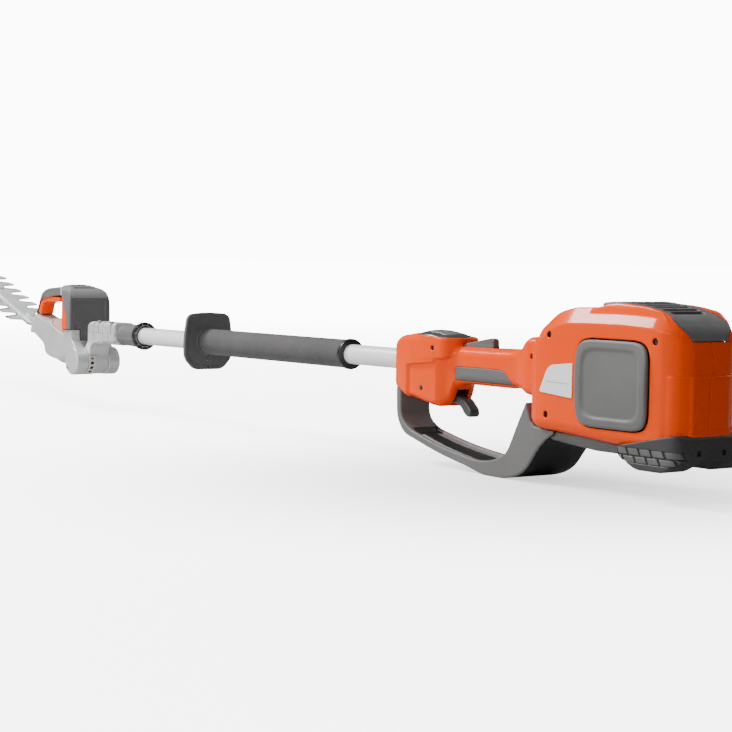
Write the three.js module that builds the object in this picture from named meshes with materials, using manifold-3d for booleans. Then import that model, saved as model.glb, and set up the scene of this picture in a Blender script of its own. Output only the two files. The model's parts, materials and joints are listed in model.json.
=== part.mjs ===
// Battery pole hedge trimmer: rear body with battery and loop handle, a carbon tube, and a cutter head
// that tilts on a pivot. Millimetres. X runs forward to the cutter, Y to the left, Z up. The tube's axis
// is the line y = 0, z = 0 until the last lines, which stand the tool on its loop guard.
import * as THREE from 'three';
import { mergeVertices } from 'three/addons/utils/BufferGeometryUtils.js';
import Module from 'manifold-3d';

const wasm = await Module();
wasm.setup();

// ---------------------------------------------------------------- driving dimensions
const GAP = 0.3;                                   // clearance between touching pieces
const WALL = 2.5;                                  // moulded shell wall
const TUBE = { r: 12.5, wall: 1.5, from: -66, to: 752 };
const SLEEVE = { r: 18, from: 92, to: 429 };
const HAND_STOP = { x: 432.5, thick: 6, halfWidth: 39, top: 41, bottom: -39 };
const COLLAR = { x: 609, length: 5, r: 20.5 };
const CLAMP = { from: 671, to: 757, half: 17.5 };
const PIVOT = { x: 771, z: -45, r: 19, half: 34, tongue: 16.8 };
const TILT = THREE.MathUtils.degToRad(19.4);       // cutter nose up from the tube's axis at rest
const SEAM = 24.7;                                 // gear case top, above the pivot, square to the blades
const MOTOR = { u: 62, can: 20, bore: 12.5, rotor: 11.5, shaft: 3 };
const GEAR = { module: 0.96, pinionTeeth: 10, wheelTeeth: 40, low: 4, high: 10 };
const CRANK_U = MOTOR.u + GEAR.module * (GEAR.pinionTeeth + GEAR.wheelTeeth) / 2;
const STROKE = 8;                                  // each blade slides this far either way
const CAM = { r: 4, clear: 0.5 };
const BLADE = { from: 205, to: 763.5, thick: 2.2, half: 15, tooth: 24, pitch: 31, top: -14.5 };
const BAR = { from: 122, to: 772, half: 12, thick: 2.7 };
const BOLT = { r: 3, head: 6.5, count: 5 };
const BODY = { front: -294, rear: -530, half: 50, top: 74, bottom: -66 };
const SIDE_COVER = { from: -492, to: -387, low: -49, high: 41, proud: 5.2, corner: 14 };
const BATTERY = { from: -514, to: -412, half: 32, low: -40 };
const GRIP = { half: 17, low: -22.5, high: 21 };
const TRIGGER_PIN = { x: -124, z: -33, r: 2 };
const LOCKOUT_PIN = { x: -150, z: 15, r: 1.8 };
const FLOOR = -121;                                // lowest face of the loop guard

// ---------------------------------------------------------------- materials
const finish = (color, roughness, metalness = 0) =>
  new THREE.MeshStandardMaterial({ color, roughness, metalness });
const ORANGE = finish(0xf05a14, 0.3);
const GREY = finish(0x7e7e7c, 0.5);
const DARK = finish(0x454446, 0.55);
const BLACK = finish(0x161616, 0.5);
const FOAM = finish(0x504e4f, 0.9);
const TUBE_PAINT = finish(0xe6e4e6, 0.35);
const CAST = finish(0xb9b8ba, 0.42, 0.6);
const STEEL = finish(0xa9abae, 0.3, 0.9);
const LABEL = finish(0xf4f4f2, 0.4);
const BOARD = finish(0x2f5d3a, 0.6);
const COPPER = finish(0xb06a3a, 0.4, 0.8);

// ---------------------------------------------------------------- solids from geometry
function solidOf(geometry) {
  const bare = geometry.index ? geometry.toNonIndexed() : geometry.clone();
  bare.deleteAttribute('normal');
  bare.deleteAttribute('uv');
  const merged = mergeVertices(bare, 1e-4);
  return new wasm.Manifold(new wasm.Mesh({
    numProp: 3,
    vertProperties: new Float32Array(merged.attributes.position.array),
    triVerts: new Uint32Array(merged.index.array),
  }));
}

function geometryOf(solid) {
  const mesh = solid.getMesh();
  const geometry = new THREE.BufferGeometry();
  geometry.setAttribute('position', new THREE.BufferAttribute(mesh.vertProperties, 3));
  geometry.setIndex(new THREE.BufferAttribute(mesh.triVerts, 1));
  geometry.computeVertexNormals();
  return geometry;
}

function moved(geometry, x, y, z) {
  return geometry.translate(x, y, z);
}

function box(x0, x1, y0, y1, z0, z1) {
  const geometry = new THREE.BoxGeometry(x1 - x0, y1 - y0, z1 - z0);
  return solidOf(moved(geometry, (x0 + x1) / 2, (y0 + y1) / 2, (z0 + z1) / 2));
}

function rod(axis, r, from, to, a = 0, b = 0, sides = 16) {
  const geometry = new THREE.CylinderGeometry(r, r, to - from, sides);
  const mid = (from + to) / 2;
  if (axis === 'x') return solidOf(moved(geometry.rotateZ(-Math.PI / 2), mid, a, b));
  if (axis === 'y') return solidOf(moved(geometry, a, mid, b));
  return solidOf(moved(geometry.rotateX(Math.PI / 2), a, b, mid));
}

function tubeRing(axis, rOut, rIn, from, to, a = 0, b = 0, sides = 20) {
  return rod(axis, rOut, from, to, a, b, sides).subtract(rod(axis, rIn, from - 1, to + 1, a, b, sides));
}

// A closed outline from corners [a, b] or [a, b, radius].
function outline(corners) {
  const shape = new THREE.Shape();
  const count = corners.length;
  corners.forEach((corner, i) => {
    const [a, b, radius = 0] = corner;
    const here = new THREE.Vector2(a, b);
    const before = new THREE.Vector2(...corners[(i + count - 1) % count].slice(0, 2));
    const after = new THREE.Vector2(...corners[(i + 1) % count].slice(0, 2));
    const reach = Math.min(radius, here.distanceTo(before) * 0.49, here.distanceTo(after) * 0.49);
    const start = here.clone().lerp(before, reach / here.distanceTo(before));
    const end = here.clone().lerp(after, reach / here.distanceTo(after));
    if (i === 0) shape.moveTo(start.x, start.y);
    else shape.lineTo(start.x, start.y);
    if (reach > 0) shape.quadraticCurveTo(here.x, here.y, end.x, end.y);
  });
  shape.closePath();
  return shape;
}

const PLANES = {
  xz: [new THREE.Vector3(1, 0, 0), new THREE.Vector3(0, 0, 1), new THREE.Vector3(0, -1, 0)],
  yz: [new THREE.Vector3(0, 1, 0), new THREE.Vector3(0, 0, 1), new THREE.Vector3(1, 0, 0)],
  xy: [new THREE.Vector3(1, 0, 0), new THREE.Vector3(0, 1, 0), new THREE.Vector3(0, 0, 1)],
};

// A prism of an outline drawn in one plane, from low to high along the third axis.
function prism(plane, corners, low, high, curveSegments = 3) {
  const shape = corners instanceof THREE.Shape ? corners : outline(corners);
  const options = { depth: high - low, bevelEnabled: false, curveSegments };
  const geometry = new THREE.ExtrudeGeometry(shape, options);
  geometry.applyMatrix4(new THREE.Matrix4().makeBasis(...PLANES[plane]));
  const offset = plane === 'xz' ? high : low;
  const along = { xz: [0, offset, 0], yz: [offset, 0, 0], xy: [0, 0, offset] }[plane];
  return solidOf(moved(geometry, ...along));
}

const mirrored = corners => corners.concat(corners.slice().reverse().map(([a, b, r]) => [-a, b, r]));
const mirroredAcross = corners => corners.concat(corners.slice().reverse().map(([a, b, r]) => [a, -b, r]));

// A rounded rectangle in y and z, three points to a corner, anticlockwise seen from +X.
function roundedRing(half, low, high, radius) {
  const points = [];
  const centres = [[half - radius, high - radius], [radius - half, high - radius],
    [radius - half, low + radius], [half - radius, low + radius]];
  centres.forEach(([y, z], corner) => {
    for (let step = 0; step < 3; step += 1) {
      const angle = (corner + step / 2) * Math.PI / 2;
      points.push([y + radius * Math.cos(angle), z + radius * Math.sin(angle)]);
    }
  });
  return points;
}

// A closed skin through rings of equal count. place turns (station, [a, b]) into a point.
function loft(rings, place) {
  const count = rings[0].points.length;
  const positions = [];
  const index = [];
  for (const { at, points } of rings) {
    for (const point of points) positions.push(...place(at, point));
  }
  const cap = (ring, flip) => {
    const centre = positions.length / 3;
    const middle = [0, 1].map(k => ring.points.reduce((sum, p) => sum + p[k], 0) / count);
    positions.push(...place(ring.at, middle));
    const base = rings.indexOf(ring) * count;
    for (let j = 0; j < count; j += 1) {
      const next = base + (j + 1) % count;
      index.push(...(flip ? [centre, next, base + j] : [centre, base + j, next]));
    }
  };
  for (let i = 0; i + 1 < rings.length; i += 1) {
    for (let j = 0; j < count; j += 1) {
      const a = i * count + j;
      const b = i * count + (j + 1) % count;
      index.push(a, b, b + count, a, b + count, a + count);
    }
  }
  cap(rings[0], true);
  cap(rings[rings.length - 1], false);
  const geometry = new THREE.BufferGeometry();
  geometry.setAttribute('position', new THREE.Float32BufferAttribute(positions, 3));
  geometry.setIndex(index);
  return solidOf(geometry);
}

// Stations [x, half width, low, high, corner radius], grown by the given amount all round.
function loftX(stations, grow = 0) {
  const rings = stations.slice().sort((p, q) => p[0] - q[0]).map(([x, half, low, high, radius]) => ({
    at: x, points: roundedRing(half + grow, low - grow, high + grow, Math.max(radius + grow, 1)),
  }));
  return loft(rings, (x, [y, z]) => [x, y, z]);
}

function joined(...solids) {
  return solids.reduce((sum, solid) => sum.add(solid));
}

function cut(solid, ...tools) {
  return tools.reduce((rest, tool) => rest.subtract(tool), solid);
}

// ---------------------------------------------------------------- scene graph
const tool = new THREE.Group();
const head = new THREE.Group();                    // origin on the pivot, X along the blades
head.position.set(PIVOT.x, 0, PIVOT.z);
head.rotation.y = -TILT;
tool.add(head);

function add(group, name, solid, material) {
  const mesh = new THREE.Mesh(geometryOf(solid), material);
  mesh.name = name;
  group.add(mesh);
}

const BIG = 2000;
const leftSide = box(-BIG, BIG, GAP / 2, BIG, -BIG, BIG);
const rightSide = box(-BIG, BIG, -BIG, -GAP / 2, -BIG, BIG);

// A pin boss standing inwards from a shell's wall, with a blind bore for the pin's end.
function boss(x, z, r, side, wallY, innerY) {
  const [from, to] = side > 0 ? [innerY, wallY] : [-wallY, -innerY];
  return rod('y', r, from, to, x, z, 12);
}

// ---------------------------------------------------------------- handle housing
const HANDLE_STATIONS = [
  [-28, 17, -23, 22, 10], [-33, 20.5, -33, 28, 9], [-40, 23, -37, 30, 8],
  [-57, 26, -42, 32, 8], [-74, 28, -45, 34, 8], [-112, 28, -51, 34, 8], [-120, 25, -50, 31, 8],
  [-132, 19, -43, 24, 9], [-142, GRIP.half, GRIP.low - 3, GRIP.high, 11],
  [-160, GRIP.half, GRIP.low, GRIP.high, 12], [-232, GRIP.half, GRIP.low, GRIP.high + 1, 12],
  [-250, 17.5, -21.5, 23, 11], [-262, 20, -24, 29, 10], [-270, 22.5, -26, 35, 9], [-278, 23.5, -27, 38, 9],
  [-290, 23.5, -29, 38.5, 9],
];

const KEYPAD_PLAN = [[-60, 0, 3], [-64, 17, 8], [-88, 23, 10], [-128, 22, 6], [-138, 10, 5], [-139, 0, 2]];
const KEYPAD_BUTTONS = [{ name: 'power_button', x: -80, r: 7 }, { name: 'boost_button', x: -108, r: 6 }];

function keypadBlock(grow) {
  const plan = KEYPAD_PLAN.map(([x, y, r]) => [x + Math.sign(x + 99) * grow, y ? y + grow : 0, r]);
  const profile = [[-58 + grow, 26 - grow], [-58 + grow, 31, 4], [-91, 39 + grow, 30], [-128, 33 + grow, 12],
    [-141 - grow, 28, 4], [-141 - grow, 26 - grow]];
  return prism('xy', mirroredAcross(plan.slice(1, -1)), -50, 60).intersect(prism('xz', profile, -40, 40, 6));
}

function inlayPrism(grow) {
  const corners = [[-146 + grow, -2 + grow], [-229 - grow, -2 + grow], [-246 - grow, -18 - grow],
    [-146 + grow, -18 - grow]];
  return prism('xz', corners, -30, 30);
}

function handleShell() {
  const front = HANDLE_STATIONS[0][0] - WALL;
  const skin = cut(loftX(HANDLE_STATIONS), loftX(HANDLE_STATIONS, -WALL)
    .intersect(box(-BIG, front, -BIG, BIG, -BIG, BIG)));
  const bore = rod('x', TUBE.r + GAP, -80, 5, 0, 0, 24);
  const slot = box(-138, -113, -9, 9, -60, -18);
  const lockoutSlot = box(-200, -141.5, -5.5, 5.5, 10, 30);
  const rearMouth = box(-300, -270, -14, 14, -18, 26);
  const buttonHoles = KEYPAD_BUTTONS.map(({ x, r }) => rod('z', r + 0.8, 15, 50, x, 0, 16));
  return cut(skin, bore, slot, lockoutSlot, rearMouth, keypadBlock(GAP), ...buttonHoles);
}

function handleHalf(side) {
  const half = handleShell().intersect(side > 0 ? leftSide : rightSide);
  const bosses = joined(
    boss(TRIGGER_PIN.x, TRIGGER_PIN.z, 4.5, side, 21.5, 9.5),
    boss(LOCKOUT_PIN.x, LOCKOUT_PIN.z, 3.6, side, 15.5, 6.5),
    boss(-60, -28, 5, side, 24.5, GAP / 2),
    boss(-268, -12, 4, side, 21, GAP / 2),
  );
  const pinBores = [rod('y', TRIGGER_PIN.r + GAP, -15, 15, TRIGGER_PIN.x, TRIGGER_PIN.z, 12),
    rod('y', LOCKOUT_PIN.r + GAP, -11, 11, LOCKOUT_PIN.x, LOCKOUT_PIN.z, 12)];
  return cut(half.add(bosses), ...pinBores, inlayPrism(GAP));
}

function addHandle() {
  add(tool, 'handle_left', handleHalf(1), ORANGE);
  add(tool, 'handle_right', handleHalf(-1), ORANGE);
  const inlay = cut(loftX(HANDLE_STATIONS), loftX(HANDLE_STATIONS, -WALL)).intersect(inlayPrism(0));
  add(tool, 'grip_inlay_left', inlay.intersect(box(-BIG, BIG, 3, BIG, -BIG, BIG)), GREY);
  add(tool, 'grip_inlay_right', inlay.intersect(box(-BIG, BIG, -BIG, -3, -BIG, BIG)), GREY);
  const wells = KEYPAD_BUTTONS.map(({ x, r }) => rod('z', r + GAP, 15, 50, x, 0, 16));
  add(tool, 'keypad', cut(keypadBlock(0), ...wells), DARK);
  for (const { name, x, r } of KEYPAD_BUTTONS) {
    add(tool, name, rod('z', r, 31, x > -100 ? 39.2 : 37.8, x, 0, 16), GREY);
  }
  add(tool, 'keypad_board', box(-122, -68, -14, 14, 22.6, 24.2), BOARD);
}

// ---------------------------------------------------------------- trigger and lockout
function torsionSpring(x, z, r, wire, from, turns) {
  const points = [];
  const perTurn = 6;
  const steps = turns * perTurn;
  const pitch = wire * 2.3;
  for (let i = 0; i <= steps; i += 1) {
    const angle = i / perTurn * 2 * Math.PI;
    const y = from + pitch * i / perTurn;
    points.push(new THREE.Vector3(x + r * Math.cos(angle), y, z + r * Math.sin(angle)));
  }
  const wireShape = new THREE.Shape().absarc(0, 0, wire, 0, 2 * Math.PI);
  const path = new THREE.CatmullRomCurve3(points);
  const geometry = new THREE.ExtrudeGeometry(wireShape, { steps, extrudePath: path, curveSegments: 2.5 });
  return solidOf(geometry);
}

function addTrigger() {
  const lever = prism('xz', [[-119, -29, 4], [-118, -43, 3], [-129, -47, 6], [-141, -49, 8], [-153, -59, 6],
    [-160, -60, 6], [-160, -53, 6], [-146, -40, 10], [-134, -38, 8], [-129, -29, 4]], -7.5, 7.5, 4);
  const springPocket = box(-135, -115, 2.5, 8, -45, -22);
  const bore = rod('y', TRIGGER_PIN.r + 0.1, -20, 20, TRIGGER_PIN.x, TRIGGER_PIN.z, 12);
  add(tool, 'trigger', cut(lever, bore, springPocket.intersect(rod('y', 6, 0, 9, TRIGGER_PIN.x,
    TRIGGER_PIN.z, 16))), BLACK);
  add(tool, 'trigger_pin', rod('y', TRIGGER_PIN.r, -14, 14, TRIGGER_PIN.x, TRIGGER_PIN.z, 12), STEEL);
  add(tool, 'trigger_spring', torsionSpring(TRIGGER_PIN.x, TRIGGER_PIN.z, 3.3, 0.5, 3.6, 3), STEEL);
  add(tool, 'trigger_switch', box(-110, -88, -5, 5, -32, -18), BLACK);
  const wedge = [[-143, 12, 3], [-142, 22, 3], [-146, 24.5, 3], [-190, 32.5, 4], [-195.5, 31.5, 2],
    [-196.5, 20, 2], [-160, 17, 6], [-154, 12, 3]];
  const lockBore = rod('y', LOCKOUT_PIN.r + 0.1, -20, 20, LOCKOUT_PIN.x, LOCKOUT_PIN.z, 12);
  add(tool, 'lockout_lever', cut(prism('xz', wedge, -4.8, 4.8, 3), lockBore), GREY);
  add(tool, 'lockout_pin', rod('y', LOCKOUT_PIN.r, -10, 10, LOCKOUT_PIN.x, LOCKOUT_PIN.z, 12), STEEL);
}

// ---------------------------------------------------------------- rear body
const BODY_STATIONS = [
  [-294, 25, -32, 37, 9], [-300, 34, -46, 41, 11], [-308, 43, -54, 45, 13], [-322, 49, -56, 56, 15],
  [-346, 50, -57.5, 70, 18], [-372, 50, -59, 74, 18], [-440, 50, -64, 75, 18], [-498, 50, -66, 73, 18],
  [-514, 48.5, -66, 70, 18], [-524, 45, -65, 65, 18], [-530, 40, -62, 59, 18],
];
const CAP_PROFILE = [[-408, 44, 0], [-408, 80, 3], [-432, 82, 20], [-480, 76.5, 30], [-509, 68, 12],
  [-524, 57, 12], [-530, 44, 1]];
const RIM_PROFILE = [[-398, 60], [-399, 72], [-426, 81, 16], [-476, 78, 30], [-504, 72.5, 6], [-512, 60]];

// Seen from behind, the cap narrows towards the bottom of the rear wall.
function capSection(grow) {
  const across = mirrored([[24 + grow, 40], [26 + grow, 47, 4], [36 + grow, 58, 8], [38 + grow, 68, 4],
    [33 + grow, 90]]);
  return prism('yz', across.map(([y, z, r]) => [y, z < 45 ? CAP_PROFILE[0][1] - grow : z, r]), -560,
    CAP_PROFILE[0][0] + grow);
}

function batteryCap() {
  return prism('xz', CAP_PROFILE, -45, 45, 4).intersect(capSection(0));
}

function bodyHalf(side) {
  const skin = cut(loftX(BODY_STATIONS), loftX(BODY_STATIONS, -WALL)
    .intersect(box(BODY.rear + WALL, BODY.front - WALL, -BIG, BIG, -BIG, BIG)));
  const neckMouth = box(-300, -285, -14, 14, -18, 26);
  const cableMouth = box(-420, -400, -12, 12, -70, -50);
  const well = box(BATTERY.from - 1, BATTERY.to + 1, -BATTERY.half - 1, BATTERY.half + 1, 30, 100);
  const rim = prism('xz', RIM_PROFILE, -45, 45, 4)
    .intersect(prism('yz', mirrored([[41, 60], [42, 73.5, 6], [38, 82, 4]]), -560, -380));
  const half = cut(skin.add(rim), neckMouth, cableMouth, capSection(0.4), well)
    .intersect(side > 0 ? leftSide : rightSide);
  const bosses = joined(
    boss(-330, 46, 5, side, 44, GAP / 2), boss(-340, -38, 5, side, 47, GAP / 2),
    boss(-520, -40, 5, side, 44, GAP / 2),
  );
  return half.add(bosses);
}

function sideCover(side) {
  const { from, to, low, high, proud, corner } = SIDE_COVER;
  const frame = inset => [[from + inset, low + inset, corner], [from + inset, high - inset, corner],
    [to - inset, high - inset, corner], [to - inset, low + inset, corner]];
  const base = BODY.half + GAP;
  const layers = [[0, proud - 3.4], [1.5, proud - 1.6], [4.5, proud]];
  const plates = layers.map(([inset, height]) => {
    const [y0, y1] = side > 0 ? [base, base + height] : [-base - height, -base];
    return prism('xz', frame(inset), y0, y1, 3);
  });
  return joined(...plates);
}

function addBody() {
  add(tool, 'body_left', bodyHalf(1), ORANGE);
  add(tool, 'body_right', bodyHalf(-1), ORANGE);
  add(tool, 'side_cover_left', sideCover(1), GREY);
  add(tool, 'side_cover_right', sideCover(-1), GREY);
  const plate = [[-328, -18, 3], [-380, -22, 2], [-380, 15, 2], [-341, 11, 8]];
  add(tool, 'name_plate', prism('xz', plate, BODY.half + GAP, BODY.half + GAP + 0.7), LABEL);
  add(tool, 'control_board', box(-400, -336, -30, 30, -30, -22), BOARD);
  const skid = [[-322, -61.1], [-330, -70.6, 3], [-400, -76.6, 6], [-446, -76.6, 3], [-446, -68.1],
    [-384, -61.8]];
  add(tool, 'bottom_plate', prism('xz', skid, -34, 34), DARK);
  add(tool, 'terminal_block', box(-500, -424, -20, 20, -56, BATTERY.low - 1), BLACK);
}

// ---------------------------------------------------------------- battery
const FINS = { count: 8, from: -409, pitch: 12, width: 5.5, half: 25 };

function addBattery() {
  const { from, to, half, low } = BATTERY;
  const core = prism('xy', [[from, -half, 6], [to, -half, 6], [to, half, 6], [from, half, 6]], low, 60);
  const slots = Array.from({ length: FINS.count }, (_, i) => {
    const x = FINS.from - i * FINS.pitch;
    const floor = 76 - Math.max(0, i - 3) * 2.2;
    return box(x - FINS.width, x, -FINS.half, FINS.half, floor, 100);
  });
  const pockets = [1, -1].map(side => box(-480, -446, side > 0 ? 30 : -42, side > 0 ? 42 : -30, 62, 75.5));
  add(tool, 'battery', cut(core.add(batteryCap()), ...slots, ...pockets), DARK);
  for (const [name, side] of [['battery_latch_left', 1], ['battery_latch_right', -1]]) {
    const [y0, y1] = side > 0 ? [33.6, 37.2] : [-37.2, -33.6];
    add(tool, name, box(-479, -447, y0, y1, 62.6, 67.4).add(
      box(-474, -452, side > 0 ? 33.6 : -35.4, side > 0 ? 35.4 : -33.6, 66, 71)), GREY);
  }
}

// ---------------------------------------------------------------- loop guard and rear foot
const GUARD_OUTER = [[-36, -30], [-37.5, -69, 18], [-52, -87, 24], [-126, -105, 40], [-184, -114.5, 40],
  [-212, FLOOR, 10], [-258, FLOOR, 16], [-290, -111, 16], [-318, -76, 14], [-338, -64]];
const GUARD_INNER = [[-338, -60.5], [-306, -58], [-299, -53], [-290, -33], [-271, -66, 14], [-255, -96, 20],
  [-210, -107, 30], [-126, -96, 40], [-64, -81, 16], [-47, -68, 14], [-46, -30]];

function guardWidth(x) {
  const [front, rear] = [22, 38];
  return front + (rear - front) * THREE.MathUtils.clamp((-37 - x) / 270, 0, 1);
}

function addGuard() {
  const band = prism('xz', GUARD_OUTER.concat(GUARD_INNER), -40, 40, 4);
  const plan = [[-30, guardWidth(-30)], [-338, guardWidth(-338)], [-338, -guardWidth(-338)],
    [-30, -guardWidth(-30)]];
  const tapered = band.intersect(prism('xy', plan, -200, 0));
  const handleRoom = loftX(HANDLE_STATIONS, GAP);
  const bodyRoom = loftX(BODY_STATIONS, GAP);
  const channel = prism('xz', [[-60, -70, 8], [-66, -84.5, 10], [-126, -99, 30], [-208, -110.5, 20],
    [-246, -108, 10], [-246, -85], [-60, -60]], -40, 40, 4);
  const hollow = channel.intersect(prism('xy', [[-55, 17], [-250, 28], [-250, -28], [-55, -17]], -200, 0));
  add(tool, 'loop_guard', cut(tapered, hollow, handleRoom, bodyRoom,
    box(-346, -321.5, -36, 36, -90, -50)), GREY);
}

function addFoot() {
  const side = [[-447, -67], [-448, -74, 3], [-478, -88, 6], [-518, -88, 8], [-534, -77, 5], [-535, -54, 4],
    [-531, -50, 2], [-524, -50]];
  const plan = mirroredAcross([[-447, 44, 10], [-462, 52, 10], [-518, 52, 16], [-536, 40, 14]]);
  const block = prism('xz', side, -54, 54, 3).intersect(prism('xy', plan, -100, -40, 3));
  const blocks = [];
  for (let row = 0; row < 2; row += 1) {
    for (let k = 0; k < 5; k += 1) {
      const x = -462 - k * 12;
      const z = -75 + k * 0.6 - row * 7;
      blocks.push(box(x - 9, x, -54, -51, z, z + 5), box(x - 9, x, 51, 54, z, z + 5));
    }
  }
  const room = loftX(BODY_STATIONS, GAP);
  const notch = prism('yz', mirrored([[24, -95], [15, -76, 3]]), -560, -470);
  add(tool, 'rear_foot', cut(block, room, notch, ...blocks), DARK);
}

// ---------------------------------------------------------------- tube, sleeve, hand stop, collar
function addTube() {
  add(tool, 'tube', tubeRing('x', TUBE.r, TUBE.r - TUBE.wall, TUBE.from, TUBE.to, 0, 0, 24), TUBE_PAINT);
  add(tool, 'tube_cable', rod('x', 4, -70, 740, 0, -3, 8), BLACK);
  add(tool, 'foam_sleeve', tubeRing('x', SLEEVE.r, TUBE.r + GAP, SLEEVE.from, SLEEVE.to, 0, 0, 24), FOAM);
  const ringRoom = rod('x', 19.6, 86, SLEEVE.from - GAP, 0, 0, 20);
  add(tool, 'sleeve_end_ring', cut(ringRoom, rod('x', TUBE.r + GAP, 80, 100, 0, 0, 20)), BLACK);
  const { x, thick, halfWidth, top, bottom } = HAND_STOP;
  const face = mirrored([[23, bottom, 8], [halfWidth, bottom + 16, 10], [halfWidth, 8, 20],
    [halfWidth - 5, top - 2.5, 9], [12, top, 16]]);
  const slit = [[-1, -10], [1, -10], [1, -22], [4, -25], [1, -29], [1, bottom - 1], [-1, bottom - 1],
    [-1, -28], [2, -25], [-1, -22]];
  add(tool, 'hand_stop', cut(prism('yz', face, x - thick / 2 + GAP, x + thick / 2, 4),
    rod('x', TUBE.r + GAP, 400, 460, 0, 0, 20), prism('yz', slit, 400, 460)), DARK);
  const collar = tubeRing('x', COLLAR.r, TUBE.r + GAP, COLLAR.x, COLLAR.x + COLLAR.length, 0, 0, 24);
  add(tool, 'collar_ring', collar, BLACK);
  const neckRings = [[COLLAR.x + COLLAR.length + GAP, 17.5], [626, 17.5], [640, 16.8],
    [CLAMP.from - GAP, 16]];
  const neckProfile = [[neckRings[0][0], TUBE.r + GAP], ...neckRings, [CLAMP.from - GAP, TUBE.r + GAP],
    [neckRings[0][0], TUBE.r + GAP]].map(([a, b]) => new THREE.Vector2(b, a));
  const neck = new THREE.LatheGeometry(neckProfile, 20).rotateZ(-Math.PI / 2);
  add(tool, 'tube_adapter', solidOf(neck), GREY);
}

// ---------------------------------------------------------------- tube clamp and pivot
function clampBlock() {
  const { from, to, half } = CLAMP;
  const section = mirrored([[half, -half + 1, 7], [half, half, 7]]);
  const bodyBlock = prism('yz', section, from, to, 3);
  const grooves = [692, 708, 738].map(x => cut(box(x, x + 4, -30, 30, -30, 30),
    prism('yz', mirrored([[half - 1.6, -half + 2.6, 6], [half - 1.6, half - 1.6, 6]]), 600, 800, 2)));
  return cut(bodyBlock, rod('x', TUBE.r + GAP, 600, TUBE.to + GAP, 0, 0, 20), ...grooves);
}

const CLAMP_SCREWS = [{ name: 'clamp_screw_rear', x: 684 }, { name: 'clamp_screw_front', x: 722 }];

function addClamp() {
  const block = clampBlock();
  const wells = CLAMP_SCREWS.flatMap(({ x }) => [-1, 1].map(s => rod('z', 1.8, -14, 30, x, s * 15.2, 8)));
  const upper = block.intersect(box(0, BIG, -BIG, BIG, GAP / 2, BIG));
  const lower = block.intersect(box(0, BIG, -BIG, BIG, -BIG, -GAP / 2));
  add(tool, 'clamp_upper', cut(upper, ...wells), CAST);
  const web = prism('xz', [[736, -14], [757, -14], [766, -24, 6], [780, -36, 4], [780, -50], [760, -55],
    [752.3, -44, 4], [748, -20, 4]], -PIVOT.tongue, PIVOT.tongue, 3);
  const barrel = rod('y', PIVOT.r - 0.4, -PIVOT.tongue, PIVOT.tongue, PIVOT.x, PIVOT.z, 24);
  const tongue = cut(joined(web, barrel), rod('y', 6 + GAP, -40, 40, PIVOT.x, PIVOT.z, 20));
  const strapRoom = tubeRing('y', PIVOT.r + 3, PIVOT.r - 1.2, 6, 17, PIVOT.x, PIVOT.z, 24)
    .intersect(strapSector());
  add(tool, 'clamp_lower', cut(joined(lower, tongue), ...wells, strapRoom), CAST);
  for (const { name, x } of CLAMP_SCREWS) {
    add(tool, name, rod('z', 1.5, -12, 18, x, 15.2, 8).add(rod('z', 3, 17.9, 20.4, x, 15.2, 12)), STEEL);
  }
}

// The part of the barrel's skin, from behind its top round under to the front, that the strap covers.
function strapSector() {
  const points = [];
  for (let degrees = 165; degrees <= 345; degrees += 15) {
    const a = THREE.MathUtils.degToRad(degrees);
    points.push([PIVOT.x + 40 * Math.cos(a), PIVOT.z + 40 * Math.sin(a)]);
  }
  return prism('xz', [[PIVOT.x, PIVOT.z], ...points], 0, 20);
}

function addStrap() {
  const ring = tubeRing('y', PIVOT.r + 0.2, PIVOT.r - 0.9, 6.4, 16.6, PIVOT.x, PIVOT.z, 24);
  const holes = [];
  for (let k = 0; k < 7; k += 1) {
    const a = THREE.MathUtils.degToRad(178 + k * 22);
    const drill = new THREE.CylinderGeometry(2.2, 2.2, 12, 6).rotateZ(a - Math.PI / 2);
    drill.rotateX(Math.PI / 2).translate(PIVOT.x + 19 * Math.cos(a), 11.5, PIVOT.z + 19 * Math.sin(a));
    holes.push(solidOf(drill));
  }
  const strap = cut(ring.intersect(strapSector()), ...holes);
  add(tool, 'index_strap', strap, STEEL);
  add(tool, 'pivot_pin', rod('y', 6, -PIVOT.half + 2, PIVOT.half - 2, PIVOT.x, PIVOT.z, 20), STEEL);
}

// ---------------------------------------------------------------- gear case (head frame)
// The cutter head is drawn along its own axes. These turn upright points of the tube's frame into them.
const cosTilt = Math.cos(TILT);
const sinTilt = Math.sin(TILT);

function inHead(x, z) {
  const [dx, dz] = [x - PIVOT.x, z - PIVOT.z];
  return [dx * cosTilt + dz * sinTilt, dz * cosTilt - dx * sinTilt];
}

const seamHeight = (x, w) => PIVOT.z + (w + (x - PIVOT.x) * sinTilt) / cosTilt;

function bowlPlan(inset) {
  const points = [];
  const count = 24;
  for (let i = 0; i < count; i += 1) {
    const a = i / count * 2 * Math.PI;
    const power = 2 / 2.5;
    const c = Math.sign(Math.cos(a)) * Math.abs(Math.cos(a)) ** power;
    const s = Math.sign(Math.sin(a)) * Math.abs(Math.sin(a)) ** power;
    points.push([70 + (48 - inset) * c, (34 - inset) * s]);
  }
  return points;
}

function circle(u, r, count) {
  return Array.from({ length: count }, (_, i) => {
    const a = i / count * 2 * Math.PI;
    return [u + r * Math.cos(a), r * Math.sin(a)];
  });
}

function bowl(levels) {
  const rings = levels.map(([w, inset]) => ({ at: w, points: bowlPlan(inset) }));
  return loft(rings, (w, [u, v]) => [u, v, w]);
}

// The ear's side outline, drawn upright in the tube's frame with the head in its rest tilt.
const EAR_PROFILE = [[781, 2], [806, 2], [816, -38, 6], [806, -41, 4], [790, -40], [771, -45], [757, -32],
  [781, -12, 3]];

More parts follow.
